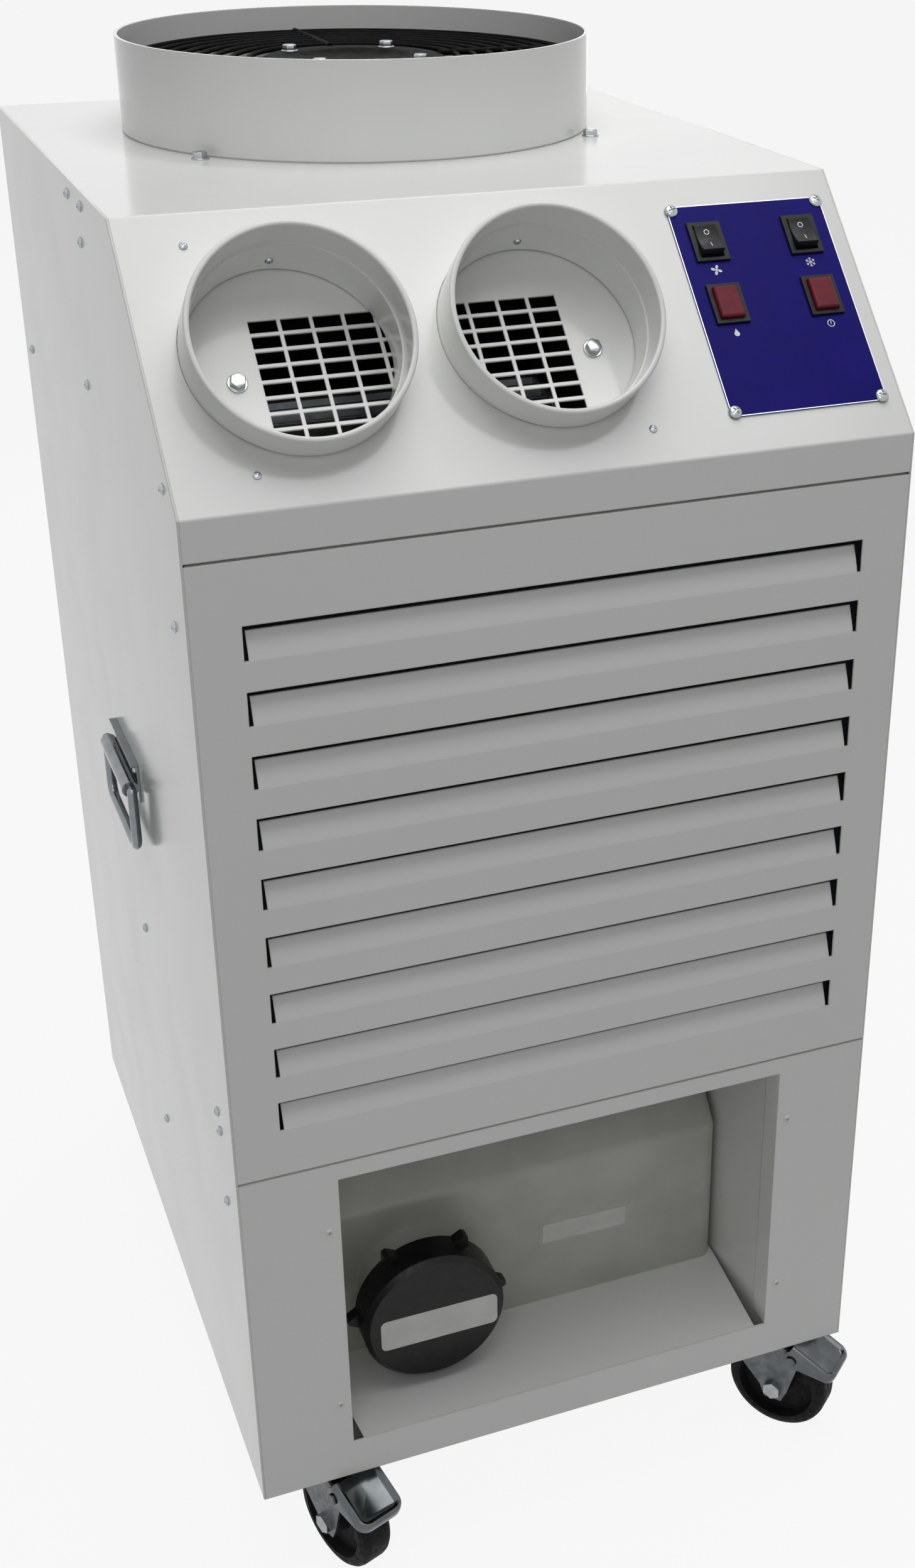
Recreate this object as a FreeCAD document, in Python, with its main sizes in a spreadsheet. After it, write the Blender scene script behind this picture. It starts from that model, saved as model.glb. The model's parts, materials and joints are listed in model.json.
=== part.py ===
"""Industrial portable air conditioner: a sheet metal cabinet on casters, as separate pieces.

Frame: millimetres, +Z up, +X to the right of someone facing the front, +Y to the back.
The origin is on the floor, under the middle of the cabinet.
"""

import FreeCAD, Part
import math
import operator
import os
import Sketcher

V = FreeCAD.Vector
Turn = FreeCAD.Rotation
doc = FreeCAD.newDocument("portable_air_conditioner")
book = doc.addObject("Spreadsheet::Sheet", "sizes")


class Size:
    """A size that knows its number and the formula that gives it from the sheet's cells."""

    def __init__(self, number, formula):
        self.number = number
        self.formula = formula

    def __add__(self, other):
        return joined(self, "+", other)

    def __radd__(self, other):
        return joined(other, "+", self)

    def __sub__(self, other):
        return joined(self, "-", other)

    def __rsub__(self, other):
        return joined(other, "-", self)

    def __mul__(self, other):
        return joined(self, "*", other)

    def __rmul__(self, other):
        return joined(other, "*", self)

    def __truediv__(self, other):
        return joined(self, "/", other)

    def __neg__(self):
        return joined(0, "-", self)


SIGNS = {"+": operator.add, "-": operator.sub, "*": operator.mul, "/": operator.truediv}


def number(value):
    return float(value.number) if isinstance(value, Size) else float(value)


def formula(value):
    return value.formula if isinstance(value, Size) else f"({value:.10g})"


def joined(left, sign, right):
    return Size(SIGNS[sign](number(left), number(right)), f"({formula(left)} {sign} {formula(right)})")


def size(name, value):
    """Writes one driving dimension to the sheet, under its own alias."""
    size.row += 1
    book.set(f"A{size.row}", name)
    book.set(f"B{size.row}", str(value))
    book.setAlias(f"B{size.row}", name)
    return Size(value, f"sizes.{name}")


size.row = 0

# Cabinet
lift = size("caster_height", 108)
cab_width = size("cab_width", 520)
cab_depth = size("cab_depth", 660)
base_height = size("base_height", 313)
intake_height = size("intake_height", 477)
head_lip = size("head_lip", 30)
head_rise = size("head_rise", 154)
sheet = size("sheet", 1.5)
seam = size("seam", 2)
flange = size("flange", 22)
bend = size("bend_radius", 2.5)
edge_round = size("panel_edge_round", 1.1)
fit = size("fit", 0.2)
half_width = cab_width / 2
inner_half = half_width - sheet
front_y = -cab_depth / 2
back_y = cab_depth / 2
base_top = lift + base_height
intake_top = base_top + intake_height
head_bottom = intake_top + seam
fold_z = intake_top + head_lip
roof_z = fold_z + head_rise
fold_y = front_y + head_rise
HALF_ROOT = math.sqrt(0.5)
MITRE = math.sqrt(2) - 1

# Pressed louvres of the intake panels
louvre_half = size("louvre_half_width", 224.5)
louvre_count = size("louvre_count", 9)
louvre_pitch = size("louvre_pitch", 46.15)
louvre_first = size("louvre_first", 39.2)
slot_height = size("louvre_height", 24.5)
flap_depth = size("louvre_depth", 7)
kerf = size("louvre_kerf", 3)

# Base, tank bay and shelf
pan_sheet = size("pan_sheet", 2)
pan_rim = size("pan_rim", 28)
bay_half = size("bay_half_width", 184)
bay_low = size("bay_sill", 34.5)
bay_high = base_height - size("bay_rail", 16.5)
bay_back = front_y + size("bay_depth", 296)
shelf_front_half = size("tank_shelf_front_half", 175)
shelf_back_gap = size("tank_shelf_back_gap", 0.5)
shelf_sheet = size("tank_shelf_sheet", 2)
sill_z = lift + bay_low
pan_top = lift + pan_sheet

# Condensate tank and its screw cap
tank_setback = size("tank_setback", 100)
tank_gap = size("tank_gap", 2)
tank_height = size("tank_height", 205)
tank_wall = size("tank_wall", 3)
tank_corner = size("tank_corner", 13)
tank_shoulder = size("tank_shoulder", 62)
neck_x = size("neck_x", -100)
neck_up = size("neck_up", 68.8)
neck_radius = size("neck_radius", 48)
cap_radius = size("cap_radius", 60)
cap_seat = size("cap_seat", 32)
cap_length = size("cap_length", 30)
cap_crown = size("cap_crown", 5)
cap_edge = size("cap_edge", 4)
cap_lug = size("cap_lug_radius", 68)
cap_lugs = size("cap_lugs", 6)
cap_play = size("cap_play", 0.3)
neck_length = cap_seat + cap_length - cap_crown
spout_x = size("spout_x", 105)
spout_radius = size("spout_radius", 11)
spout_drop = size("spout_drop", 52)

# Cold air outlets on the slope; u runs along X, v up the slope, h out of it
spigot_radius = size("spigot_radius", 74.5)
spigot_wall = size("spigot_wall", 4)
spigot_length = size("spigot_length", 36)
spigot_tilt = size("spigot_tilt", 8)
spigot_v = size("spigot_v", 109)
spigot_mid_u = size("spigot_mid_u", -75)
spigot_spacing = size("spigot_spacing", 173)
spigot_step = size("spigot_step", 1.6)
spigot_bead = size("spigot_bead", 1)
spigot_lip = size("spigot_lip", 1.5)
grille_back = size("grille_setback", 15.6)
grille_columns = size("grille_columns", 10)
grille_rows = size("grille_rows", 10)
column_pitch = size("grille_column_pitch", 21.7)
row_pitch = size("grille_row_pitch", 11.6)
grille_bar = size("grille_bar", 2.6)
grille_top_v = size("grille_top_v", 143.3)
plate_half = size("grille_plate_half", 165)
plate_low_v = size("grille_plate_low", 17)
plate_high_v = size("grille_plate_high", 200)
grille_bolt_half = size("grille_bolt_half_spacing", 123.4)
grille_bolt_v = size("grille_bolt_v", 99)

# Control plate with its switches and lamps
panel_u = size("panel_u", 186.3)
panel_v = size("panel_v", 111)
panel_width = size("panel_width", 121)
panel_height = size("panel_height", 167)
panel_sheet = size("panel_sheet", 1.2)
panel_screw_inset = size("panel_screw_inset", 3.5)
switch_half_spacing = size("switch_half_spacing", 37)
rocker_row = size("rocker_row", 53)
lamp_row = size("lamp_row", 3)
bezel_width = size("bezel_width", 25.5)
bezel_height = size("bezel_height", 31.2)
bezel_proud = size("bezel_proud", 2)
case_width = size("switch_case_width", 21.8)
case_height = size("switch_case_height", 28.6)
case_depth = size("switch_case_depth", 22)
rocker_width = size("rocker_width", 17)
rocker_length = size("rocker_length", 22.8)
rocker_tilt = size("rocker_tilt", 10)
rocker_play = size("rocker_play", 0.3)
rocker_pin = size("rocker_pin_radius", 1.5)
running = size("running_clearance", 0.05)
lens_width = size("lens_width", 18)
lens_height = size("lens_height", 24.4)
lens_proud = size("lens_proud", 3.2)
box_depth = size("electrical_box_depth", 70)

# Exhaust outlet and its axial fan
duct_radius = size("duct_radius", 187)
duct_wall = size("duct_wall", 2.4)
duct_step = size("duct_step", 1)
duct_height = size("duct_height", 72)
duct_y = back_y - size("duct_inset", 191)
orifice_radius = size("orifice_radius", 172)
orifice_drop = size("orifice_drop", 46)
fan_plate_half_x = size("fan_plate_half_width", 200)
fan_plate_half_y = size("fan_plate_half_depth", 183)
fan_plate_sheet = size("fan_plate_sheet", 2)
guard_wire = size("guard_wire_radius", 2)
guard_up = size("guard_up", 51)
guard_rings = size("guard_rings", 8)
guard_outer = duct_radius - duct_wall - guard_wire - fit
guard_inner = size("guard_inner_radius", 84)
hub_disc = size("guard_disc_radius", 73)
fan_radius = size("fan_radius", 164)
fan_hub = size("fan_hub_radius", 58)
fan_hub_height = size("fan_hub_height", 46)
fan_blades = size("fan_blades", 5)
stator_radius = size("stator_radius", 46)
stator_height = size("stator_height", 62)
fan_shaft = size("fan_shaft_radius", 7)
bolt_half_x = size("duct_bolt_half_x", 155.5)
bolt_half_y = size("duct_bolt_half_y", 121)
motor_bolt_x = size("motor_bolt_half_x", 41)
motor_bolt_y = size("motor_bolt_half_y", 46)

# Inside of the cabinet
bulkhead_y = front_y + size("bulkhead_setback", 270)
filter_depth = size("filter_depth", 10)
coil_half = inner_half - size("coil_side_room", 53.5)
coil_end = size("coil_end_plate", 6)
evap_height = size("evaporator_height", 350)
evap_depth = size("evaporator_depth", 50)
cond_height = size("condenser_height", 500)
cond_depth = size("condenser_depth", 45)
fin_pitch = size("fin_pitch", 16)
fin_groove = size("fin_groove", 5)
tray_height = size("drip_tray_height", 22)
tray_depth = size("drip_tray_depth", 102)
scroll_radius = size("scroll_radius", 88)
scroll_v = size("scroll_v", 70)
scroll_back = size("scroll_setback", 118)
wheel_radius = size("blower_wheel_radius", 62)
blade_depth = size("blower_blade_depth", 12)
blower_blades = size("blower_blades", 24)
blower_shaft = size("blower_shaft_radius", 6)
blower_motor_radius = size("blower_motor_radius", 44)
blower_motor_length = size("blower_motor_length", 80)
comp_x = size("compressor_x", 110)
comp_y = back_y - size("compressor_inset", 150)
comp_radius = size("compressor_radius", 82)
comp_height = size("compressor_height", 236)
foot_height = size("compressor_foot_height", 16)
foot_spread = size("compressor_foot_spread", 76)
drier_x = size("drier_x", -120)
drier_y = back_y - size("drier_inset", 130)
drier_radius = size("drier_radius", 22)
drier_length = size("drier_length", 130)
drier_up = size("drier_up", 60)
pipe_radius = size("pipe_radius", 6)
pipe_bend = size("pipe_bend", 22)
pipe_side = size("pipe_side_gap", 24)
liquid_drop = size("liquid_pipe_drop", 63)
hot_rise = size("hot_pipe_rise", 70)

# Drop handles on the sides
handle_y = size("handle_y", -26)
handle_up = size("handle_up", 516)
handle_half = size("handle_half_length", 47)
handle_sheet = size("handle_sheet", 2)
handle_above = size("handle_plate_above", 20)
handle_below = size("handle_plate_below", 13)
handle_lip = size("handle_lip", 6)
bail_rod = size("bail_rod_radius", 4)
bail_half = size("bail_half_length", 54)
bail_drop = size("bail_drop", 50)
bail_bend = size("bail_bend", 11)
barrel_wall = size("barrel_wall", 2.6)

# Casters
caster_x = half_width - size("caster_side_inset", 60)
caster_front_y = front_y + size("front_caster_inset", 56)
caster_rear_y = back_y - size("rear_caster_inset", 68)
swivel_left = size("swivel_left", 20)
swivel_right = size("swivel_right", 40)
trail = size("caster_trail", 34)
wheel_r = size("caster_wheel_radius", 46)
tread = size("caster_wheel_width", 30)
axle_r = size("caster_axle_radius", 5)
fork_half = size("fork_half_width", 17.5)
fork_sheet = size("fork_sheet", 2.5)
crown_sheet = size("crown_sheet", 4)
crown_half = size("crown_half_length", 24)
mount_plate = size("caster_plate_sheet", 4)
mount_half_x = size("caster_plate_half_width", 35)
mount_half_y = size("caster_plate_half_depth", 45)
race_drop = size("race_drop", 5)
race_radius = size("race_radius", 22)
race_gap = size("race_gap", 0.3)
king_pin = size("king_pin_radius", 6)
pedal_gap = size("pedal_gap", 0.6)
pedal_sheet = size("pedal_sheet", 2)
pedal_reach = size("pedal_reach", 45)
pedal_drop = size("pedal_drop", 26)
pedal_rear = size("pedal_rear_height", 8)
pedal_toe = size("pedal_toe", 10)
pedal_rib = size("pedal_rib_height", 2)
pedal_pin = size("pedal_pin_radius", 3)
pedal_ahead = size("pedal_pin_ahead", 50)
pedal_below = size("pedal_pin_below", 22)
doc.recompute()

# Ways of making and placing a piece
SLOPE_DEGREES = 45
ON_SLOPE = Turn(V(1, 0, 0), SLOPE_DEGREES)
TO_RIGHT = Turn(V(0, 1, 0), 90)
TO_LEFT = Turn(V(0, 1, 0), -90)
TO_BACK = Turn(V(1, 0, 0), -90)
TO_FRONT = Turn(V(1, 0, 0), 90)
FACING_BACK = Turn(V(0, 0, 1), 180)
UPRIGHT = Turn()
pieces = {}


def bind(item, prop, value):
    item.setExpression(prop, formula(value))


def put(item, at, turn=UPRIGHT, angle=None):
    """Places an object by formulas; angle replaces the turn's own angle by a formula."""
    item.Placement = FreeCAD.Placement(V(0, 0, 0), turn)
    for axis, value in zip("xyz", at):
        bind(item, f"Placement.Base.{axis}", value)
    if angle is not None:
        bind(item, "Placement.Rotation.Angle", angle)
    return item


def slope_at(u, v, h):
    """A point of the slope: u along X, v up from the lower fold, h out of the surface."""
    return u, front_y + (v - h) * HALF_ROOT, fold_z + (v + h) * HALF_ROOT


def piece(name, item):
    """Gives a finished sub-part its name."""
    item.Label = name
    pieces[name] = item
    return item


def box(low, span, turn=UPRIGHT):
    item = doc.addObject("Part::Box", "block")
    for prop, value in zip(("Length", "Width", "Height"), span):
        bind(item, prop, value)
    return put(item, low, turn)


def rod(radius, height, at, turn=UPRIGHT, angle=None):
    item = doc.addObject("Part::Cylinder", "rod")
    bind(item, "Radius", radius)
    bind(item, "Height", height)
    return put(item, at, turn, angle)


def hexagon(radius, height, at, turn=UPRIGHT):
    item = doc.addObject("Part::Prism", "hexagon")
    item.Polygon = 6
    bind(item, "Circumradius", radius)
    bind(item, "Height", height)
    return put(item, at, turn)


def ball(radius, at):
    item = doc.addObject("Part::Sphere", "ball")
    bind(item, "Radius", radius)
    return put(item, at)


def elbow(bend_radius, rod_radius, degrees, at, turn):
    """A bent length of rod: part of a torus, which starts on its own X axis."""
    item = doc.addObject("Part::Torus", "elbow")
    bind(item, "Radius1", bend_radius)
    bind(item, "Radius2", rod_radius)
    item.Angle3 = degrees
    return put(item, at, turn)


def fused(items):
    item = doc.addObject("Part::MultiFuse", "joined")
    item.Shapes = items
    item.Refine = True
    return item


def without(base, tools):
    item = doc.addObject("Part::Cut", "cut")
    item.Base = base
    item.Tool = tools[0] if len(tools) == 1 else fused(tools)
    item.Refine = True
    return item


def group(items):
    item = doc.addObject("Part::Compound", "group")
    item.Links = items
    return item


def body():
    return doc.addObject("PartDesign::Body", "body")


def datum(owner, role):
    """A plane or axis of the body's own origin."""
    return next(f for f in owner.Origin.OriginFeatures if f.Role == role)


def sketch_on(owner, role, away=0, aside=0, up=0):
    """A sketch on one of the body's planes, moved along the plane's normal and within it."""
    sketch = owner.newObject("Sketcher::SketchObject", "sketch")
    sketch.AttachmentSupport = (datum(owner, role), [""])
    sketch.MapMode = "FlatFace"
    for axis, value in zip("xyz", (aside, up, away)):
        bind(sketch, f"AttachmentOffset.Base.{axis}", value)
    return sketch


def dimension(sketch, kind, *where, value):
    index = sketch.addConstraint(Sketcher.Constraint(kind, *where, number(value)))
    sketch.setExpression(f"Constraints[{index}]", formula(value))


def outline(sketch, corners):
    """A closed loop of straight sides, each corner set by two formulas."""
    first = sketch.GeometryCount
    count = len(corners)
    spots = [V(number(a), number(b), 0) for a, b in corners]
    for i in range(count):
        sketch.addGeometry(Part.LineSegment(spots[i], spots[(i + 1) % count]), False)
    for i in range(count):
        following = first + (i + 1) % count
        sketch.addConstraint(Sketcher.Constraint("Coincident", first + i, 2, following, 1))
    for i, (a, b) in enumerate(corners):
        dimension(sketch, "DistanceX", -1, 1, first + i, 1, value=a)
        dimension(sketch, "DistanceY", -1, 1, first + i, 1, value=b)
    return sketch


def rectangle(sketch, a, b, c, d):
    return outline(sketch, [(a, b), (c, b), (c, d), (a, d)])


def round_line(sketch, a, b, radius):
    here = sketch.addGeometry(Part.Circle(V(number(a), number(b), 0), V(0, 0, 1), number(radius)), False)
    dimension(sketch, "DistanceX", -1, 1, here, 3, value=a)
    dimension(sketch, "DistanceY", -1, 1, here, 3, value=b)
    dimension(sketch, "Radius", here, value=radius)
    return sketch


def extrude(kind, owner, sketch, length, both=False, back=False):
    feature = owner.newObject(f"PartDesign::{kind}", kind.lower())
    feature.Profile = sketch
    bind(feature, "Length", length)
    feature.Midplane = both
    feature.Reversed = back
    return feature


def pad(owner, sketch, length, both=False, back=False):
    return extrude("Pad", owner, sketch, length, both, back)


def pocket(owner, sketch, length, both=False, back=False):
    return extrude("Pocket", owner, sketch, length, both, back)


def revolve(owner, sketch, axis):
    feature = owner.newObject("PartDesign::Revolution", "revolution")
    feature.Profile = sketch
    feature.ReferenceAxis = (sketch, [axis])
    feature.Angle = 360
    return feature


def in_line(owner, features, role, span, count):
    pattern = owner.newObject("PartDesign::LinearPattern", "row")
    pattern.Originals = features
    pattern.Direction = (datum(owner, role), [""])
    bind(pattern, "Length", span)
    bind(pattern, "Occurrences", count)
    owner.Tip = pattern
    return pattern


def in_circle(owner, features, role, count):
    pattern = owner.newObject("PartDesign::PolarPattern", "circle")
    pattern.Originals = features
    pattern.Axis = (datum(owner, role), [""])
    pattern.Angle = 360
    bind(pattern, "Occurrences", count)
    owner.Tip = pattern
    return pattern


def mirrored(owner, features, role):
    pattern = owner.newObject("PartDesign::Mirrored", "mirrored")
    pattern.Originals = features
    pattern.MirrorPlane = (datum(owner, role), [""])
    owner.Tip = pattern
    return pattern


def rounded(owner, feature, radius, wanted):
    """Rounds the edges of the feature whose middle passes the test."""
    doc.recompute()
    names = []
    for i, edge in enumerate(feature.Shape.Edges, 1):
        if wanted(edge.CenterOfMass, edge):
            names.append(f"Edge{i}")
    fillet = owner.newObject("PartDesign::Fillet", "fillet")
    fillet.Base = (feature, names)
    bind(fillet, "Radius", radius)
    return fillet


def near(a, b):
    return abs(a - number(b)) < 0.01


# Side panels: one full-height sheet each, cut off along the slope
def side_panel(name, x, outside):
    owner = body()
    corners = [
        (front_y, lift),
        (back_y, lift),
        (back_y, roof_z),
        (fold_y, roof_z),
        (front_y, fold_z),
    ]
    panel = pad(owner, outline(sketch_on(owner, "YZ_Plane"), corners), sheet)
    rounded(owner, panel, edge_round, lambda middle, edge: near(middle.x, outside))
    piece(name, put(owner, (x, 0, 0)))


# Folded panels: their outer face is the body's XZ plane and their edges fold inwards along +Y
def folded_ring(owner, low, high):
    ring = sketch_on(owner, "XZ_Plane")
    rectangle(ring, -inner_half, low, inner_half, high)
    rectangle(ring, sheet - inner_half, low + sheet, inner_half - sheet, high - sheet)
    return pad(owner, ring, flange, back=True)


def folded_arch(owner, half, low, high, away):
    """A fold along both sides and the top of an edge, on the side that away says."""
    arch = sketch_on(owner, "XZ_Plane")
    outer = half + away
    top = high + away
    corners = [
        (-outer, low),
        (-half, low),
        (-half, high),
        (half, high),
        (half, low),
        (outer, low),
        (outer, top),
        (-outer, top),
    ]
    return pad(owner, outline(arch, corners), flange, back=True)


def intake_panel(name, high, at, turn):
    """A panel with rows of louvres: each slot keeps a flap, pressed in and hinged at its lower edge.

    The folded ring ends above the louvres; a taller panel goes on as a plain sheet.
    """
    owner = body()
    face = sketch_on(owner, "XZ_Plane")
    pad(owner, rectangle(face, -inner_half, base_top, inner_half, high), sheet, back=True)
    folded_ring(owner, base_top, intake_top)
    low = base_top + louvre_first
    slot = sketch_on(owner, "XZ_Plane")
    rectangle(slot, -louvre_half, low, louvre_half, low + slot_height)
    opening = pocket(owner, slot, sheet * 4, both=True)
    top = low + slot_height - kerf
    corners = [
        (0, low),
        (sheet, low),
        (sheet + flap_depth, top),
        (flap_depth, top),
    ]
    flap = pad(
        owner,
        outline(sketch_on(owner, "YZ_Plane"), corners),
        (louvre_half - kerf) * 2,
        both=True,
    )
    in_line(owner, [opening, flap], "Z_Axis", louvre_pitch * (louvre_count - 1), louvre_count)
    piece(name, put(owner, at, turn))


def base_front_panel():
    """The front frame round the tank bay, with the bay's edges folded in."""
    owner = body()
    high = base_top - seam
    face = sketch_on(owner, "XZ_Plane")
    rectangle(face, -inner_half, lift, inner_half, high)
    rectangle(face, -bay_half, sill_z, bay_half, lift + bay_high)
    pad(owner, face, sheet, back=True)
    folded_arch(owner, inner_half, lift + pan_rim + seam, high, -sheet)
    folded_arch(owner, bay_half, sill_z, lift + bay_high, sheet)
    piece("base_front_panel", put(owner, (0, front_y, 0)))


GLAND_X = -170
GLAND_UP = 90
gland_hole = size("gland_hole_radius", 10)


def lower_rear_panel():
    owner = body()
    high = base_top - seam
    face = sketch_on(owner, "XZ_Plane")
    rectangle(face, -inner_half, lift, inner_half, high)
    round_line(face, -GLAND_X, lift + GLAND_UP, gland_hole + fit)
    pad(owner, face, sheet, back=True)
    folded_arch(owner, inner_half, lift + pan_rim + seam, high, -sheet)
    piece("lower_rear_panel", put(owner, (0, back_y, 0), FACING_BACK))


def cable_gland():
    """The mains inlet's gland: a flange outside the panel, a threaded tail and its lock nut inside."""
    owner = body()
    section = sketch_on(owner, "XZ_Plane")
    bore = gland_hole - 4
    corners = [
        (bore, -sheet - 12),
        (gland_hole, -sheet - 12),
        (gland_hole, 0),
        (gland_hole + 4, 0),
        (gland_hole + 4, 6),
        (gland_hole, 9),
        (gland_hole - 1, 20),
        (bore, 22),
    ]
    revolve(owner, outline(section, corners), "V_Axis")
    place = (GLAND_X, back_y, lift + GLAND_UP)
    nut_at = (GLAND_X, back_y - sheet - 5, lift + GLAND_UP)
    nut = without(hexagon(gland_hole + 4, 5, nut_at, TO_BACK), [rod(gland_hole, 5, nut_at, TO_BACK)])
    piece("cable_gland", fused([put(owner, place, TO_BACK), nut]))


def base_pan():
    """The floor tray that everything stands on, with an upturned rim."""
    owner = body()
    low_y = front_y + sheet
    high_y = back_y - sheet
    floor = sketch_on(owner, "XY_Plane")
    pad(owner, rectangle(floor, -inner_half, low_y, inner_half, high_y), pan_sheet)
    rim = sketch_on(owner, "XY_Plane")
    rectangle(rim, -inner_half, low_y, inner_half, high_y)
    rectangle(rim, pan_sheet - inner_half, low_y + pan_sheet, inner_half - pan_sheet, high_y - pan_sheet)
    pad(owner, rim, pan_rim)
    piece("base_pan", put(owner, (0, 0, lift)))


def head_offset(inset):
    """The head's bent line from the front lip to the roof, moved inwards."""
    return [
        (front_y + inset, head_bottom + sheet),
        (front_y + inset, fold_z - inset * MITRE),
        (fold_y + inset * MITRE, roof_z - inset),
        (back_y - sheet * 2, roof_z - inset),
    ]


def head_shell():
    """The bent sheet of the head: bottom fold, lip, slope, roof and rear fold, with side folds."""
    owner = body()
    corners = [
        (front_y + flange, head_bottom),
        (front_y, head_bottom),
        (front_y, fold_z),
        (fold_y, roof_z),
        (back_y, roof_z),
        (back_y, roof_z - sheet),
        (back_y - sheet, roof_z - sheet),
        (back_y - sheet, roof_z - flange),
        (back_y - sheet * 2, roof_z - flange),
        (back_y - sheet * 2, roof_z - sheet),
        (fold_y + sheet * MITRE, roof_z - sheet),
        (front_y + sheet, fold_z - sheet * MITRE),
        (front_y + sheet, head_bottom + sheet),
        (front_y + flange, head_bottom + sheet),
    ]
    skin = pad(owner, outline(sketch_on(owner, "YZ_Plane"), corners), inner_half * 2, both=True)
    folds = [(front_y, fold_z), (fold_y, roof_z)]

    def on_fold(middle, edge):
        along = edge.Length > number(inner_half)
        return along and any(near(middle.y, y) and near(middle.z, z) for y, z in folds)

    rounded(owner, skin, bend, on_fold)
    fold = sketch_on(owner, "YZ_Plane", away=inner_half - sheet)
    outline(fold, head_offset(sheet) + head_offset(flange - sheet)[::-1])
    side_fold = pad(owner, fold, sheet)
    mirrored(owner, [side_fold], "YZ_Plane")
    return owner


def spigot_u(side):
    return spigot_mid_u + spigot_spacing * side / 2


SWITCH_COLUMNS = (-1, 1)


def switch_spots(row):
    return [(panel_u + switch_half_spacing * side, panel_v + row) for side in SWITCH_COLUMNS]


def top_housing():
    """The head with its holes: exhaust outlet, two cold air outlets and four switch windows."""
    holes = [rod(duct_radius - duct_step + fit, flange * 2, (0, duct_y, roof_z - flange))]
    tilt = spigot_tilt + SLOPE_DEGREES
    reach = 20
    for side in (-1, 1):
        radius = spigot_radius - spigot_bead + fit
        start = slope_at(spigot_u(side), spigot_v + tilt_shift(reach), -reach)
        holes.append(rod(radius, reach * 2, start, ON_SLOPE, tilt))
    for u, v in switch_spots(rocker_row) + switch_spots(lamp_row):
        corner = slope_at(u - case_width / 2 - fit, v - case_height / 2 - fit, -flange)
        holes.append(box(corner, (case_width + fit * 2, case_height + fit * 2, flange * 2), ON_SLOPE))
    piece("top_housing", without(head_shell(), holes))


def tilt_shift(depth):
    """How far up the slope the tilted outlet's axis lies at a depth below the surface."""
    grade = math.tan(math.radians(number(spigot_tilt)))
    return Size(grade, f"tan({formula(spigot_tilt)} * 1 deg)") * depth


# Cold air outlets: round collars, tilted a little forward of square to the slope
def outlet_spigot(name, side):
    """A collar with a wide band for the hose round its rim; its tail goes in to the grille plate."""
    owner = body()
    section = sketch_on(owner, "XZ_Plane")
    inner = spigot_radius - spigot_wall
    neck = spigot_radius - spigot_bead
    band_low = tilt_shift(spigot_radius + spigot_bead) + spigot_bead
    ledge = spigot_length / 3
    tail = -60
    corners = [
        (inner - spigot_step, tail),
        (neck, tail),
        (neck, band_low),
        (spigot_radius, band_low),
        (spigot_radius, spigot_length),
        (inner, spigot_length),
        (inner, ledge),
        (inner - spigot_step, ledge),
    ]
    collar = revolve(owner, outline(section, corners), "V_Axis")
    rounded(owner, collar, spigot_lip, lambda middle, edge: near(middle.z, spigot_length))
    u = spigot_u(side)
    put(owner, slope_at(u, spigot_v, 0), ON_SLOPE, spigot_tilt + SLOPE_DEGREES)
    reach = spigot_radius * 1.4
    cut_depth = spigot_radius
    start = slope_at(u - reach, spigot_v - reach, 1 - grille_back - cut_depth)
    behind = box(start, (reach * 2, reach * 2, cut_depth), ON_SLOPE)
    piece(name, without(owner, [behind]))


def outlet_grille_plate():
    """A hat-shaped plate behind both outlets, with one punched grille that they share."""
    owner = body()
    face = sketch_on(owner, "XY_Plane", away=-sheet)
    rectangle(face, -plate_half, plate_low_v, plate_half, plate_high_v)
    half = (column_pitch * grille_columns - grille_bar) / 2
    low = grille_top_v - row_pitch * grille_rows + grille_bar
    rectangle(face, -half, low, half, grille_top_v)
    pad(owner, face, sheet)
    rise = grille_back - sheet
    low_fold = sketch_on(owner, "XY_Plane")
    pad(owner, rectangle(low_fold, -plate_half, plate_low_v, plate_half, plate_low_v + sheet), rise)
    high_fold = sketch_on(owner, "XY_Plane")
    pad(owner, rectangle(high_fold, -plate_half, plate_high_v - sheet, plate_half, plate_high_v), rise)
    right = column_pitch - grille_bar - half
    upright = sketch_on(owner, "XY_Plane", away=-sheet)
    bar = pad(owner, rectangle(upright, right, low, right + grille_bar, grille_top_v), sheet)
    in_line(owner, [bar], "X_Axis", column_pitch * (grille_columns - 2), grille_columns - 1)
    level = sketch_on(owner, "XY_Plane", away=-sheet)
    first = low + row_pitch - grille_bar
    bar = pad(owner, rectangle(level, -half, first, half, first + grille_bar), sheet)
    in_line(owner, [bar], "Y_Axis", row_pitch * (grille_rows - 2), grille_rows - 1)
    piece("outlet_grille_plate", put(owner, slope_at(spigot_mid_u, 0, -grille_back), ON_SLOPE))


# Control plate, rocker switches and indicator lamps
def control_plate():
    owner = body()
    face = sketch_on(owner, "XY_Plane")
    half_u = panel_width / 2
    half_v = panel_height / 2
    rectangle(face, -half_u, -half_v, half_u, half_v)
    cut_u = case_width / 2 + fit
    cut_v = case_height / 2 + fit
    for side in SWITCH_COLUMNS:
        for row in (rocker_row, lamp_row):
            mid_u = switch_half_spacing * side
            rectangle(face, mid_u - cut_u, row - cut_v, mid_u + cut_u, row + cut_v)
    pad(owner, face, panel_sheet)
    piece("control_plate", put(owner, slope_at(panel_u, panel_v, 0), ON_SLOPE))


def switch_case(recess_width, recess_height, recess_depth):
    """A snap-in case: a bezel on the control plate, a body behind it and a recess in its face."""
    face = panel_sheet + bezel_proud
    bezel = box((-bezel_width / 2, -bezel_height / 2, panel_sheet), (bezel_width, bezel_height, bezel_proud))
    case = box(
        (-case_width / 2, -case_height / 2, panel_sheet - case_depth),
        (case_width, case_height, case_depth),
    )
    recess = box(
        (-recess_width / 2, -recess_height / 2, face - recess_depth),
        (recess_width, recess_height, recess_depth),
    )
    return fused([bezel, case]), recess


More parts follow.
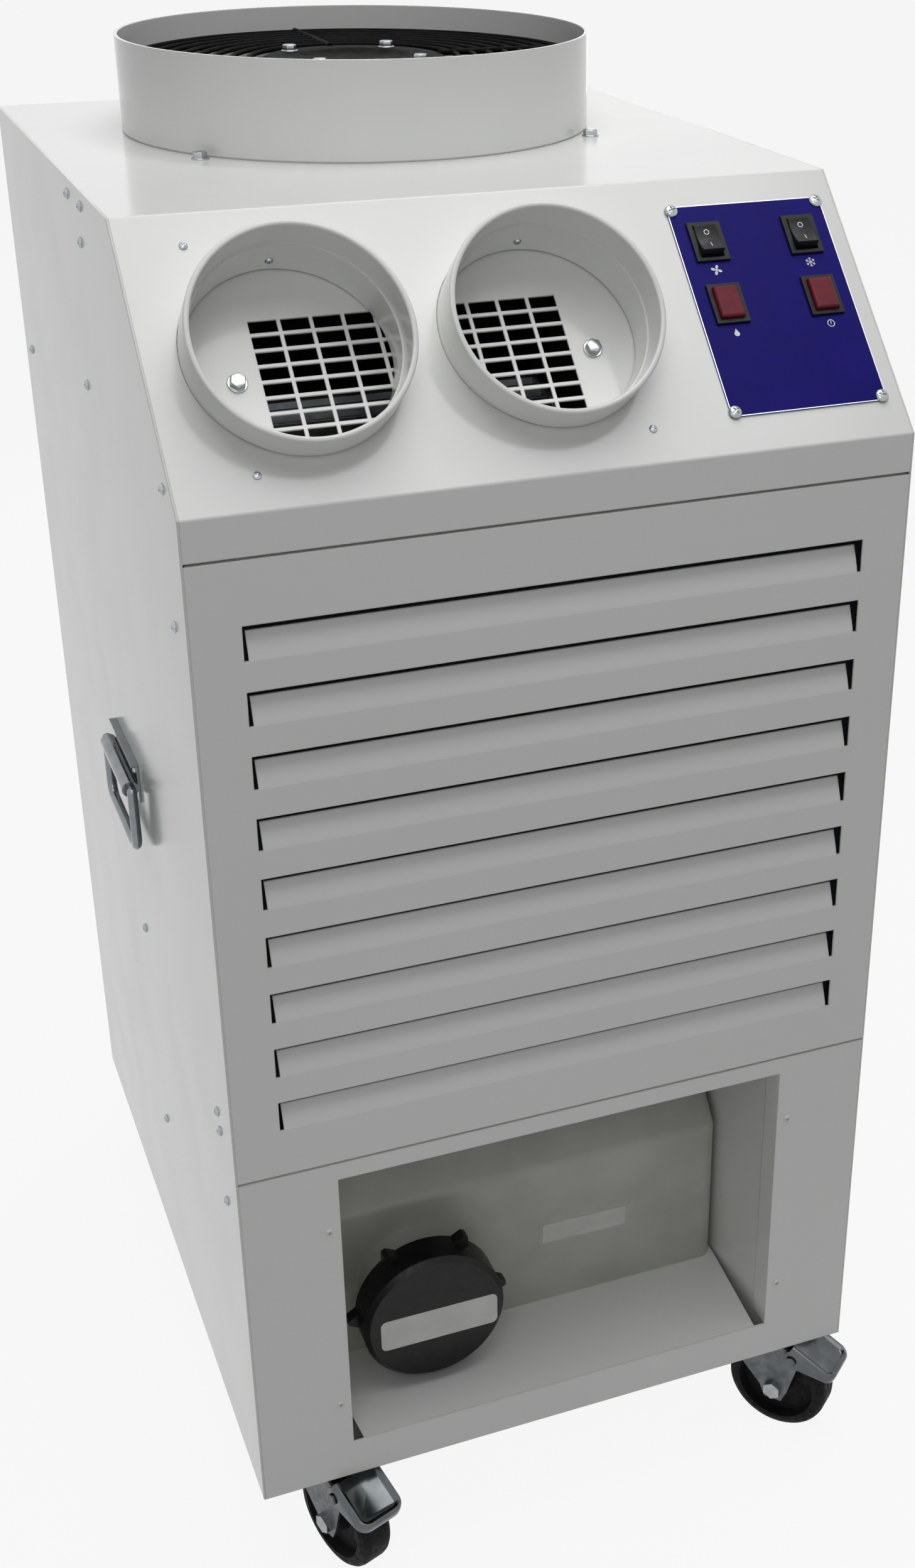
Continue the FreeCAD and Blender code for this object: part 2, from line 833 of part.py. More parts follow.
ROCKER_PIVOT = -1
ROCKER_RISE = 8
ROCKER_DIP = 5.6
ROCKER_BELOW = -3
PIN_SEAT = 1.1


def switch_bodies():
    cases = []
    for u, v in switch_spots(rocker_row):
        recess_width = rocker_width + rocker_play * 2
        recess_height = rocker_length + rocker_play * 10
        case, recess = switch_case(recess_width, recess_height, 11)
        span = rocker_width + PIN_SEAT * 2 + 0.2
        socket = rod(rocker_pin + running, span, (-span / 2, 0, ROCKER_PIVOT), TO_RIGHT)
        cases.append(put(without(case, [recess, socket]), slope_at(u, v, 0), ON_SLOPE))
    piece("switch_bodies", group(cases))


def rocker(name, spot):
    """A rocker with a dished face on two pivot pins; its upper end is pressed in at rest."""
    owner = body()
    half = rocker_length / 2
    corners = [
        (-half, ROCKER_BELOW),
        (half, ROCKER_BELOW),
        (half, ROCKER_RISE),
        (0, ROCKER_DIP),
        (-half, ROCKER_RISE),
    ]
    pad(owner, outline(sketch_on(owner, "YZ_Plane"), corners), rocker_width, both=True)
    span = rocker_width + PIN_SEAT * 2
    pin = rod(rocker_pin, span, (-span / 2, 0, 0), TO_RIGHT)
    at = slope_at(spot[0], spot[1], ROCKER_PIVOT)
    piece(name, put(fused([owner, pin]), at, ON_SLOPE, SLOPE_DEGREES - rocker_tilt))


LENS_SEAT = 4


def indicators():
    bezels = []
    lenses = []
    for u, v in switch_spots(lamp_row):
        depth = bezel_proud + LENS_SEAT
        case, recess = switch_case(lens_width + fit, lens_height + fit, depth)
        bezels.append(put(without(case, [recess]), slope_at(u, v, 0), ON_SLOPE))
        owner = body()
        face = sketch_on(owner, "XY_Plane", away=panel_sheet - LENS_SEAT)
        rectangle(face, -lens_width / 2, -lens_height / 2, lens_width / 2, lens_height / 2)
        lens = pad(owner, face, depth + lens_proud)
        top = panel_sheet + bezel_proud + lens_proud
        rounded(owner, lens, lens_proud / 2, lambda middle, edge: near(middle.z, top))
        lenses.append(put(owner, slope_at(u, v, 0), ON_SLOPE))
    piece("indicator_bezels", group(bezels))
    piece("indicator_lenses", group(lenses))


def electrical_box():
    """An open box under the slope that covers the backs of the switches."""
    half_u = panel_width / 2 + 5
    half_v = panel_height / 2 + 8
    low = slope_at(panel_u - half_u, panel_v - half_v, -sheet - box_depth)
    outer = box(low, (half_u * 2, half_v * 2, box_depth), ON_SLOPE)
    inside = slope_at(panel_u - half_u + sheet, panel_v - half_v + sheet, -box_depth)
    inner = box(inside, ((half_u - sheet) * 2, (half_v - sheet) * 2, box_depth), ON_SLOPE)
    piece("electrical_box", without(outer, [inner]))


# Exhaust outlet, guard and axial fan
def exhaust_spigot():
    """A wide collar that stands on the roof, with a thinner tail in the roof's hole."""
    owner = body()
    section = sketch_on(owner, "XZ_Plane")
    inner = duct_radius - duct_wall
    tail = duct_radius - duct_step
    low = roof_z - sheet
    foot = roof_z + duct_step
    top = roof_z + duct_height
    corners = [
        (inner, low),
        (tail, low),
        (tail, foot),
        (duct_radius, foot),
        (duct_radius, top),
        (inner, top),
    ]
    revolve(owner, outline(section, corners), "V_Axis")
    piece("exhaust_spigot", put(owner, (0, duct_y, 0)))


def fan_plate():
    """The plate under the roof with the fan's orifice ring."""
    top = roof_z - sheet
    low = top - fan_plate_sheet
    corner = (-fan_plate_half_x, duct_y - fan_plate_half_y, low)
    plate = box(corner, (fan_plate_half_x * 2, fan_plate_half_y * 2, fan_plate_sheet))
    ring = rod(orifice_radius + sheet, orifice_drop, (0, duct_y, top - orifice_drop))
    hole = rod(orifice_radius, orifice_drop * 2, (0, duct_y, top - orifice_drop * 1.5))
    piece("fan_plate", without(fused([plate, ring]), [hole]))


guard_z = roof_z + guard_up
disc_sheet = guard_wire * 1.5


def fan_guard():
    """A finger guard of wire rings on four arms across the outlet, with a disc for the motor."""
    parts = [rod(hub_disc, disc_sheet, (0, duct_y, guard_z - guard_wire))]
    step = (guard_outer - guard_inner) / (guard_rings - 1)
    for i in range(int(number(guard_rings))):
        radius = guard_inner + step * i
        parts.append(elbow(radius, guard_wire, 360, (0, duct_y, guard_z), UPRIGHT))
    length = (guard_outer + guard_wire) * 2
    for degrees in (0, 90):
        turn = Turn(V(0, 0, 1), degrees) * TO_RIGHT
        way = turn.multVec(V(0, 0, 1))
        start = (length * (-way.x / 2), duct_y + length * (-way.y / 2), guard_z + guard_wire * 0.4)
        parts.append(rod(guard_wire * 1.2, length, start, turn))
    piece("fan_guard", fused(parts))


stator_top = guard_z - guard_wire
rotor_top = stator_top - stator_height - 1


def exhaust_fan_motor():
    stator = rod(stator_radius, stator_height, (0, duct_y, stator_top - stator_height))
    length = stator_height + fan_hub_height + 8
    shaft = rod(fan_shaft, length, (0, duct_y, stator_top - length))
    piece("exhaust_fan_motor", fused([stator, shaft]))


def exhaust_fan_impeller():
    """A hub with twisted blades, each lofted from a steep root to a flatter tip."""
    owner = body()
    section = sketch_on(owner, "XZ_Plane")
    bore = fan_shaft + running
    corners = [
        (bore, -fan_hub_height),
        (fan_hub - 6, -fan_hub_height),
        (fan_hub, -fan_hub_height + 6),
        (fan_hub, 0),
        (bore, 0),
    ]
    revolve(owner, outline(section, corners), "V_Axis")
    skin = 2.5
    sections = []
    for away, half, rise in ((fan_hub - 3, 24, 17), (fan_radius, 46, 15)):
        blade = sketch_on(owner, "XZ_Plane", away=away)
        middle = -fan_hub_height / 2
        corners = [
            (-half, middle - rise),
            (0, middle - rise * 0.25),
            (half, middle + rise),
            (half, middle + rise + skin),
            (0, middle - rise * 0.25 + skin),
            (-half, middle - rise + skin),
        ]
        sections.append(outline(blade, corners))
    loft = owner.newObject("PartDesign::AdditiveLoft", "blade")
    loft.Profile = sections[0]
    loft.Sections = sections[1:]
    loft.Ruled = True
    in_circle(owner, [loft], "Z_Axis", fan_blades)
    piece("exhaust_fan_impeller", put(owner, (0, duct_y, rotor_top)))


# Inside of the cabinet
def coil(name, height, depth, low):
    """A finned coil: grooves for the fins, an end plate on each side and the tubes' return bends."""
    owner = body()
    block = sketch_on(owner, "XY_Plane")
    pad(owner, rectangle(block, -coil_half, 0, coil_half, depth), height)
    plates = sketch_on(owner, "XY_Plane")
    rectangle(plates, coil_half, -3, coil_half + coil_end, depth + 3)
    end = pad(owner, plates, height)
    mirrored(owner, [end], "YZ_Plane")
    count = int(number(coil_half) * 2 / number(fin_pitch)) - 1
    start = fin_pitch / 2 - coil_half
    for edge in (0, depth):
        groove = sketch_on(owner, "XY_Plane")
        rectangle(groove, start, edge - fin_groove, start + fin_pitch / 2, edge + fin_groove)
        cut = pocket(owner, groove, height * 2, both=True)
        in_line(owner, [cut], "X_Axis", fin_pitch * (count - 1), count)
    bends = []
    spread = depth / 4
    for share in (0.2, 0.4, 0.6, 0.8):
        at = (coil_half + coil_end, depth / 2, height * share)
        bends.append(elbow(spread, pipe_radius * 0.8, 180, at, Turn(V(0, 0, 1), -90)))
    piece(name, put(fused([owner] + bends), low))


evap_y = front_y + flange + 10
cond_y = back_y - flange - 8 - cond_depth


def mid_shelf():
    """The shelf between the tank bay and the air chambers, folded down at the sides."""
    low_y = front_y + flange + 1
    span_y = cab_depth - flange * 2 - 2
    plate = box((-inner_half, low_y, base_top - sheet), (inner_half * 2, span_y, sheet))
    folds = []
    for x in (-inner_half, inner_half - sheet):
        folds.append(box((x, low_y, base_top - flange), (sheet, span_y, flange)))
    holes = [rod(spout_radius + fit, sheet * 4, (spout_x, spout_y, base_top - sheet * 2))]
    for x, y in shelf_pipes():
        holes.append(rod(pipe_radius * 1.5, sheet * 4, (x, y, base_top - sheet * 2)))
    piece("mid_shelf", without(fused([plate] + folds), holes))


pipe_x = coil_half + coil_end + pipe_side
evap_pipe_y = evap_y + evap_depth / 2
cond_pipe_y = cond_y + cond_depth / 2
spout_y = evap_y + tray_depth - 22
suction_y = bulkhead_y + 40
liquid_y = bulkhead_y + 80
SUCTION_UP = 200
LIQUID_UP = 60


def shelf_pipes():
    return [
        (comp_x, comp_y),
        (-pipe_x, cond_pipe_y),
        (-pipe_x, liquid_y),
        (pipe_x, suction_y),
    ]


def bulkhead():
    """The wall between the cold air chamber and the condenser chamber."""
    half = inner_half - sheet
    wall = box((-half, bulkhead_y, base_top), (half * 2, sheet, roof_z - sheet - base_top))
    holes = []
    for x, up in ((-pipe_x, LIQUID_UP), (pipe_x, SUCTION_UP)):
        at = (x, bulkhead_y - sheet, base_top + up)
        holes.append(rod(pipe_radius * 1.5, sheet * 4, at, TO_BACK))
    piece("bulkhead", without(wall, holes))


def air_filter():
    """A washable filter: a frame with ribs round a thin pad, behind the front louvres."""
    half = inner_half - sheet - fit
    low_y = front_y + sheet + flap_depth + 2
    low = base_top + sheet
    height = intake_height - sheet * 2 - fit
    border = 14
    frame = box((-half, low_y, low), (half * 2, filter_depth, height))
    window = box(
        (border - half, low_y - 1, low + border),
        ((half - border) * 2, filter_depth + 2, height - border * 2),
    )
    pad_sheet = 2
    parts = [without(frame, [window])]
    parts.append(box((-half, low_y + filter_depth / 2, low), (half * 2, pad_sheet, height)))
    for share in (-0.5, 0, 0.5):
        parts.append(box((half * share - 3, low_y, low), (6, filter_depth, height)))
    piece("air_filter", fused(parts))


def drip_tray():
    half = coil_half + coil_end + 4
    outer = box((-half, evap_y - 8, base_top), (half * 2, tray_depth, tray_height))
    inner = box(
        (sheet - half, evap_y - 8 + sheet, base_top + sheet),
        ((half - sheet) * 2, tray_depth - sheet * 2, tray_height),
    )
    drain = rod(spout_radius - 2.5, sheet * 4, (spout_x, spout_y, base_top - sheet))
    piece("drip_tray", without(outer, [inner, drain]))


def drain_spout():
    """The tube that lets the tray drain into the tank below it."""
    at = (spout_x, spout_y, base_top - spout_drop)
    tube = rod(spout_radius, spout_drop, at)
    piece("drain_spout", without(tube, [rod(spout_radius - 2.5, spout_drop, at)]))


blower_half = (column_pitch * grille_columns + grille_bar) / 2 + 1
grille_low_v = grille_top_v - row_pitch * grille_rows + grille_bar


def scroll(inset):
    """The blower's casing as one solid, its walls moved inwards by the inset."""
    start = spigot_mid_u - blower_half + inset
    span = blower_half * 2 - inset * 2
    drum = rod(scroll_radius - inset, span, slope_at(start, scroll_v, -scroll_back), ON_SLOPE * TO_RIGHT)
    margin = 3
    low_v = grille_low_v - margin + inset
    height = grille_top_v - grille_low_v + margin * 2 - inset * 2
    depth = scroll_back - grille_back - sheet
    throat = box(slope_at(start, low_v, -scroll_back), (span, height, depth), ON_SLOPE)
    return fused([drum, throat])


def blower_housing():
    right = spigot_mid_u + blower_half
    inlet_at = slope_at(spigot_mid_u - blower_half - sheet, scroll_v, -scroll_back)
    inlet = rod(wheel_radius - blade_depth, sheet * 4, inlet_at, ON_SLOPE * TO_RIGHT)
    shaft_at = slope_at(right - sheet * 2, scroll_v, -scroll_back)
    shaft_hole = rod(blower_shaft + 2, sheet * 4, shaft_at, ON_SLOPE * TO_RIGHT)
    piece("blower_housing", without(scroll(0), [scroll(sheet), inlet, shaft_hole]))


def blower_wheel():
    """A squirrel cage: a back disc with a hub, a cage of blades and an end ring."""
    owner = body()
    play = 6
    span = blower_half * 2 - sheet * 2 - play * 2
    disc = 3
    hub = sketch_on(owner, "XY_Plane")
    round_line(hub, 0, 0, blower_shaft * 2.5)
    pad(owner, hub, span / 4)
    back = sketch_on(owner, "XY_Plane")
    round_line(back, 0, 0, wheel_radius)
    pad(owner, back, disc)
    ring = sketch_on(owner, "XY_Plane", away=span - disc)
    round_line(ring, 0, 0, wheel_radius)
    round_line(ring, 0, 0, wheel_radius - blade_depth)
    vane = sketch_on(owner, "XY_Plane")
    inner = wheel_radius - blade_depth + 1.5
    outer = wheel_radius - 1
    corners = [(inner, -1), (outer, 5), (outer, 6.5), (inner, 1)]
    blade = pad(owner, outline(vane, corners), span)
    in_circle(owner, [blade], "Z_Axis", blower_blades)
    pad(owner, ring, disc)
    bore = sketch_on(owner, "XY_Plane")
    round_line(bore, 0, 0, blower_shaft + running)
    pocket(owner, bore, span, both=True)
    right = spigot_mid_u + blower_half - sheet - play
    at = slope_at(right, scroll_v, -scroll_back)
    piece("blower_wheel", put(owner, at, ON_SLOPE * TO_LEFT))


def blower_motor():
    right = spigot_mid_u + blower_half
    at = slope_at(right, scroll_v, -scroll_back)
    shell = rod(blower_motor_radius, blower_motor_length, at, ON_SLOPE * TO_RIGHT)
    reach = blower_half / 2
    start = slope_at(right - reach, scroll_v, -scroll_back)
    shaft = rod(blower_shaft, reach + 10, start, ON_SLOPE * TO_RIGHT)
    piece("blower_motor", fused([shell, shaft]))


comp_low = pan_top + foot_height
comp_plate = 4
comp_top = comp_low + comp_plate + comp_height
SUCTION_STUB = 12
suction_low = lift + SUCTION_UP


def compressor():
    """A welded shell with domed ends on a base plate, with its suction stub."""
    owner = body()
    section = sketch_on(owner, "XZ_Plane")
    corners = [
        (0, 0),
        (comp_radius - 10, 0),
        (comp_radius, 14),
        (comp_radius, comp_height - 34),
        (comp_radius - 6, comp_height - 18),
        (comp_radius - 26, comp_height - 5),
        (comp_radius - 50, comp_height),
        (0, comp_height),
    ]
    revolve(owner, outline(section, corners), "V_Axis")
    put(owner, (comp_x, comp_y, comp_low + comp_plate))
    half = foot_spread + 16
    plate = box((comp_x - half, comp_y - half, comp_low), (half * 2, half * 2, comp_plate))
    reach = comp_radius + SUCTION_STUB
    stub = rod(pipe_radius * 1.4, reach, (comp_x, comp_y, suction_low), TO_RIGHT)
    piece("compressor", fused([owner, plate, stub]))


def compressor_feet():
    feet = []
    for side in (-1, 1):
        for end in (-1, 1):
            at = (comp_x + foot_spread * side, comp_y + foot_spread * end, pan_top)
            feet.append(rod(14, foot_height, at))
    piece("compressor_feet", group(feet))


drier_low = lift + drier_up


def filter_drier():
    owner = body()
    section = sketch_on(owner, "XZ_Plane")
    stub = pipe_radius * 1.3
    corners = [
        (0, 0),
        (stub, 0),
        (drier_radius, 18),
        (drier_radius, drier_length - 18),
        (stub, drier_length),
        (0, drier_length),
    ]
    revolve(owner, outline(section, corners), "V_Axis")
    piece("filter_drier", put(owner, (drier_x, drier_y, drier_low)))


def pipe_run(points):
    """A round pipe along straight runs joined by equal bends; its points are sizes."""
    radius = number(pipe_bend)
    spots = [V(*[number(value) for value in point]) for point in points]
    edges = []
    here = spots[0]
    for before, corner, after in zip(spots, spots[1:], spots[2:]):
        way_in = (corner - before).normalize()
        way_out = (after - corner).normalize()
        start = corner - way_in * radius
        end = corner + way_out * radius
        middle = corner + (way_out - way_in) * radius * (1 - HALF_ROOT)
        edges.append(Part.LineSegment(here, start).toShape())
        edges.append(Part.Arc(start, middle, end).toShape())
        here = end
    edges.append(Part.LineSegment(here, spots[-1]).toShape())
    path = Part.Wire(edges)
    ring = Part.Circle(spots[0], spots[1] - spots[0], number(pipe_radius)).toShape()
    run = path.makePipeShell([Part.Wire([ring])], True, False)
    expected = math.pi * number(pipe_radius) ** 2 * path.Length
    if abs(run.Volume - expected) > 0.01 * expected:
        raise ValueError(f"pipe volume {run.Volume:.0f}, not {expected:.0f}")
    return run


def refrigerant_pipes():
    """Hot gas, liquid and suction lines between compressor, coils and drier."""
    end_x = coil_half + coil_end
    liquid_z = base_top - liquid_drop
    hot_low = base_top + hot_rise
    hot_high = base_top + cond_height - 40
    hot_gas = [
        (comp_x, comp_y, comp_top),
        (comp_x, comp_y, hot_low),
        (pipe_x, comp_y, hot_low),
        (pipe_x, cond_pipe_y, hot_low),
        (pipe_x, cond_pipe_y, hot_high),
        (end_x, cond_pipe_y, hot_high),
    ]
    to_drier = [
        (-end_x, cond_pipe_y, base_top + 30),
        (-pipe_x, cond_pipe_y, base_top + 30),
        (-pipe_x, cond_pipe_y, liquid_z),
        (drier_x, cond_pipe_y, liquid_z),
        (drier_x, drier_y, liquid_z),
        (drier_x, drier_y, drier_low + drier_length),
    ]
    to_evaporator = [
        (drier_x, drier_y, drier_low),
        (drier_x, drier_y, lift + 30),
        (-pipe_x, drier_y, lift + 30),
        (-pipe_x, liquid_y, lift + 30),
        (-pipe_x, liquid_y, base_top + LIQUID_UP),
        (-pipe_x, evap_pipe_y, base_top + LIQUID_UP),
        (-end_x, evap_pipe_y, base_top + LIQUID_UP),
    ]
    suction = [
        (end_x, evap_pipe_y, base_top + SUCTION_UP),
        (pipe_x, evap_pipe_y, base_top + SUCTION_UP),
        (pipe_x, suction_y, base_top + SUCTION_UP),
        (pipe_x, suction_y, suction_low),
        (pipe_x, comp_y, suction_low),
        (comp_x + comp_radius + SUCTION_STUB, comp_y, suction_low),
    ]
    item = doc.addObject("Part::Feature", "pipes")
    runs = [pipe_run(points) for points in (hot_gas, to_drier, to_evaporator, suction)]
    item.Shape = Part.makeCompound(runs)
    piece("refrigerant_pipes", item)


# Tank bay: shelf, liner, tank and screw cap
def tank_shelf():
    """The bay's floor, narrower at the front corners, on two legs."""
    owner = body()
    face = sketch_on(owner, "XY_Plane")
    low_y = front_y + sheet
    back_half = bay_half - shelf_back_gap
    corners = [
        (-shelf_front_half, low_y),
        (shelf_front_half, low_y),
        (back_half, low_y + tank_setback),
        (back_half, bay_back),
        (-back_half, bay_back),
        (-back_half, low_y + tank_setback),
    ]
    pad(owner, outline(face, corners), shelf_sheet)
    leg = sketch_on(owner, "XY_Plane")
    foot = shelf_front_half - 10
    rectangle(leg, foot, front_y + flange * 2, foot + shelf_sheet, bay_back - flange)
    legs = pad(owner, leg, bay_low - shelf_sheet - pan_sheet, back=True)
    mirrored(owner, [legs], "YZ_Plane")
    piece("tank_shelf", put(owner, (0, 0, sill_z - shelf_sheet)))


def tank_bay_liner():
    """Three walls round the bay, from the pan up to the shelf above."""
    owner = body()
    face = sketch_on(owner, "XY_Plane")
    inner = bay_half + sheet
    outer = inner + sheet
    low_y = front_y + sheet + pan_sheet
    corners = [
        (-outer, low_y),
        (-inner, low_y),
        (-inner, bay_back),
        (inner, bay_back),
        (inner, low_y),
        (outer, low_y),
        (outer, bay_back + sheet),
        (-outer, bay_back + sheet),
    ]
    pad(owner, outline(face, corners), base_top - seam - sheet - pan_top)
    piece("tank_bay_liner", put(owner, (0, 0, pan_top)))


tank_half = bay_half - tank_gap
tank_front = front_y + tank_setback
tank_depth = bay_back - tank_front - 4


def tank_solid(inset):
    """The tank's rounded box with its sloping front shoulder, moved inwards by the inset."""
    owner = body()
    section = sketch_on(owner, "YZ_Plane")
    low = sill_z + inset
    high = sill_z + tank_height - inset
    front = tank_front + inset
    back = tank_front + tank_depth - inset
    slant = tank_shoulder - inset * MITRE
    corners = [
        (front, low),
        (back, low),
        (back, high),
        (front + slant * 0.8, high),
        (front, high - slant),
    ]
    block = pad(owner, outline(section, corners), (tank_half - inset) * 2, both=True)
    rounded(owner, block, tank_corner - inset, lambda middle, edge: not near(middle.z, low))
    return owner


def condensate_tank():
    """A hollow blow-moulded tank with a wide neck on its front."""
    neck_z = sill_z + neck_up
    at = (neck_x, tank_front - neck_length, neck_z)
    neck = rod(neck_radius, neck_length + tank_wall, at, TO_BACK)
    bore = rod(neck_radius - tank_wall, neck_length + tank_wall * 3, at, TO_BACK)
    shell = without(fused([tank_solid(0), neck]), [tank_solid(tank_wall), bore])
    piece("condensate_tank", shell)


def tank_cap():
    """A wide screw cap on the neck: a skirt with wedge-shaped lugs and a flat crown."""
    owner = body()
    section = sketch_on(owner, "XZ_Plane")
    bore = neck_radius + cap_play
    crown = cap_seat + cap_length
    corners = [
        (0, crown),
        (cap_radius - cap_edge, crown),
        (cap_radius, crown - cap_edge),
        (cap_radius, cap_seat),
        (bore, cap_seat),
        (bore, neck_length + cap_play),
        (0, neck_length + cap_play),
    ]
    revolve(owner, outline(section, corners), "V_Axis")
    grip = sketch_on(owner, "XY_Plane", away=cap_seat)
    root = cap_radius - 2
    outline(grip, [(root, -8), (cap_lug, -2), (cap_lug, 2), (root, 8)])
    lug = pad(owner, grip, cap_length / 3)
    in_circle(owner, [lug], "Z_Axis", cap_lugs)
    piece("tank_cap", put(owner, (neck_x, tank_front, sill_z + neck_up), TO_FRONT))


# Drop handles: modelled facing -Y, with the pivot on the X axis
handle_z = lift + handle_up
barrel_radius = bail_rod + running + barrel_wall
pivot_out = handle_sheet + barrel_radius - 0.5


def handle_plate(side):
    """A folded plate with a rolled barrel for the bail's pivot bar."""
    plate = box(
        (-handle_half, -handle_sheet, -handle_below),
        (handle_half * 2, handle_sheet, handle_below + handle_above),
    )
    lip = box(
        (-handle_half, -handle_lip, handle_above - handle_sheet),
        (handle_half * 2, handle_lip, handle_sheet),
    )
    at = (-handle_half, -pivot_out, 0)
    barrel = rod(barrel_radius, handle_half * 2, at, TO_RIGHT)
    bore = rod(bail_rod + running, handle_half * 2, at, TO_RIGHT)
    item = without(fused([plate, lip, barrel]), [bore])
    return put(item, (half_width * side, handle_y, handle_z), Turn(V(0, 0, 1), 90 * side))


def handle_bail(name, side):
    """A bail of round bar: the pivot bar, two legs and a grip with bent corners."""
    y = -pivot_out
    parts = [rod(bail_rod, bail_half * 2, (-bail_half, y, 0), TO_RIGHT)]
    grip_half = bail_half - bail_bend
    parts.append(rod(bail_rod, grip_half * 2, (-grip_half, y, -bail_drop), TO_RIGHT))
    for end, degrees in ((-1, 180), (1, 270)):
        x = bail_half * end
        leg = bail_drop - bail_bend
        parts.append(ball(bail_rod, (x, y, 0)))
        parts.append(rod(bail_rod, leg, (x, y, -leg)))
        corner = (grip_half * end, y, -leg)
        flat = Turn(V(1, 0, 0), 90)
        parts.append(elbow(bail_bend, bail_rod, 90, corner, flat * Turn(V(0, 0, 1), degrees)))
    item = fused(parts)
    piece(name, put(item, (half_width * side, handle_y, handle_z), Turn(V(0, 0, 1), 90 * side)))


# Casters: modelled under their top plate, with the wheel trailing along -Y
axle_z = wheel_r - lift
crown_top = -mount_plate - race_drop - race_gap
crown_low = crown_top - crown_sheet


def caster_frame(item, side, y, angle):
    return put(item, (caster_x * side, y, lift), Turn(V(0, 0, 1), 10), angle)


def caster_plates():
    """The front casters' fixed halves: top plate, ball race and king pin with its head."""
    plates = []
    for side in (-1, 1):
        plate = box(
            (-mount_half_x, -mount_half_y, -mount_plate),
            (mount_half_x * 2, mount_half_y * 2, mount_plate),
        )
        race = rod(race_radius, race_drop, (0, 0, -mount_plate - race_drop))
        head_low = crown_low - race_gap - 3
        pin = rod(king_pin, -mount_plate - head_low, (0, 0, head_low))
        head = rod(king_pin * 1.7, 3, (0, 0, head_low))
        item = fused([plate, race, pin, head])
        plates.append(put(item, (caster_x * side, caster_front_y, lift)))
    piece("caster_plates", group(plates))


def fork_leg(owner, corners):
    leg = sketch_on(owner, "YZ_Plane", away=fork_half)
    side = pad(owner, outline(leg, corners), fork_sheet)
    mirrored(owner, [side], "YZ_Plane")


def axle_hole(ahead):
    reach = fork_half + fork_sheet + 1
    return rod(axle_r + running, reach * 2, (-reach, -ahead, axle_z), TO_RIGHT)


pedal_half = fork_half + fork_sheet + pedal_gap + pedal_sheet
RIVET_HEAD = 1.5
RIVET_PLAY = 0.3


def front_fork(name, side, angle):
    """A pressed fork: crown on the king pin, two tapered legs and a rivet on each for the pedal."""
    owner = body()
    outer = fork_half + fork_sheet
    crown = sketch_on(owner, "XY_Plane", away=crown_low)
    rectangle(crown, -outer, -trail, outer, crown_half)
    round_line(crown, 0, 0, king_pin + running)
    pad(owner, crown, crown_sheet)
    tip = pedal_ahead + pedal_pin * 2
    corners = [
        (crown_half, crown_top),
        (-trail, crown_top),
        (-tip, pedal_pin - pedal_below),
        (-tip, -pedal_below - pedal_pin * 2),
        (-trail - 13, axle_z),
        (-trail - 8, axle_z - 12),
        (-trail + 8, axle_z - 12),
        (-trail + 13, axle_z),
        (crown_half - 8, crown_low - 8),
    ]
    fork_leg(owner, corners)
    parts = [owner]
    head = pedal_half + RIVET_PLAY
    span = head + RIVET_HEAD - fork_half
    for shank_x, head_x in ((fork_half, head), (-head - RIVET_HEAD, -head - RIVET_HEAD)):
        parts.append(rod(pedal_pin, span, (shank_x, -pedal_ahead, -pedal_below), TO_RIGHT))
        parts.append(rod(pedal_pin * 1.6, RIVET_HEAD, (head_x, -pedal_ahead, -pedal_below), TO_RIGHT))
    item = without(fused(parts), [axle_hole(trail)])
    piece(name, caster_frame(item, side, caster_front_y, angle))


def axle(ahead):
    """An axle bolt with its head and nut outside the fork's legs."""
    outer = fork_half + fork_sheet
    nut = axle_r
    length = (outer + nut) * 2
    shank = rod(axle_r, length, (-length / 2, -ahead, axle_z), TO_RIGHT)
    head = hexagon(axle_r * 1.7, nut, (outer, -ahead, axle_z), TO_RIGHT)
    lock = hexagon(axle_r * 1.7, nut, (-outer - nut, -ahead, axle_z), TO_RIGHT)
    return fused([shank, head, lock])


def caster_wheel(name, side, y, angle, ahead):
    """A moulded wheel: long hub, thin web and a tyre with rounded shoulders."""
    owner = body()
    section = sketch_on(owner, "XZ_Plane", away=ahead, up=axle_z)
    half = tread / 2
    hub = fork_half - 1
    hub_r = axle_r * 2.4
    rim_r = wheel_r * 0.72
    web = tread / 5
    right = [
        (hub, axle_r + running),
        (hub, hub_r),
        (web, hub_r + 2),
        (web, rim_r),
        (half, rim_r + 2),
        (half, wheel_r - 7),
        (half - 1.5, wheel_r - 3),
        (half - 4, wheel_r - 0.8),
        (half - 7, wheel_r),
    ]
    left = [(-x, r) for x, r in right[::-1]]
    revolve(owner, outline(section, right + left), "H_Axis")
    piece(name, caster_frame(owner, side, y, angle))


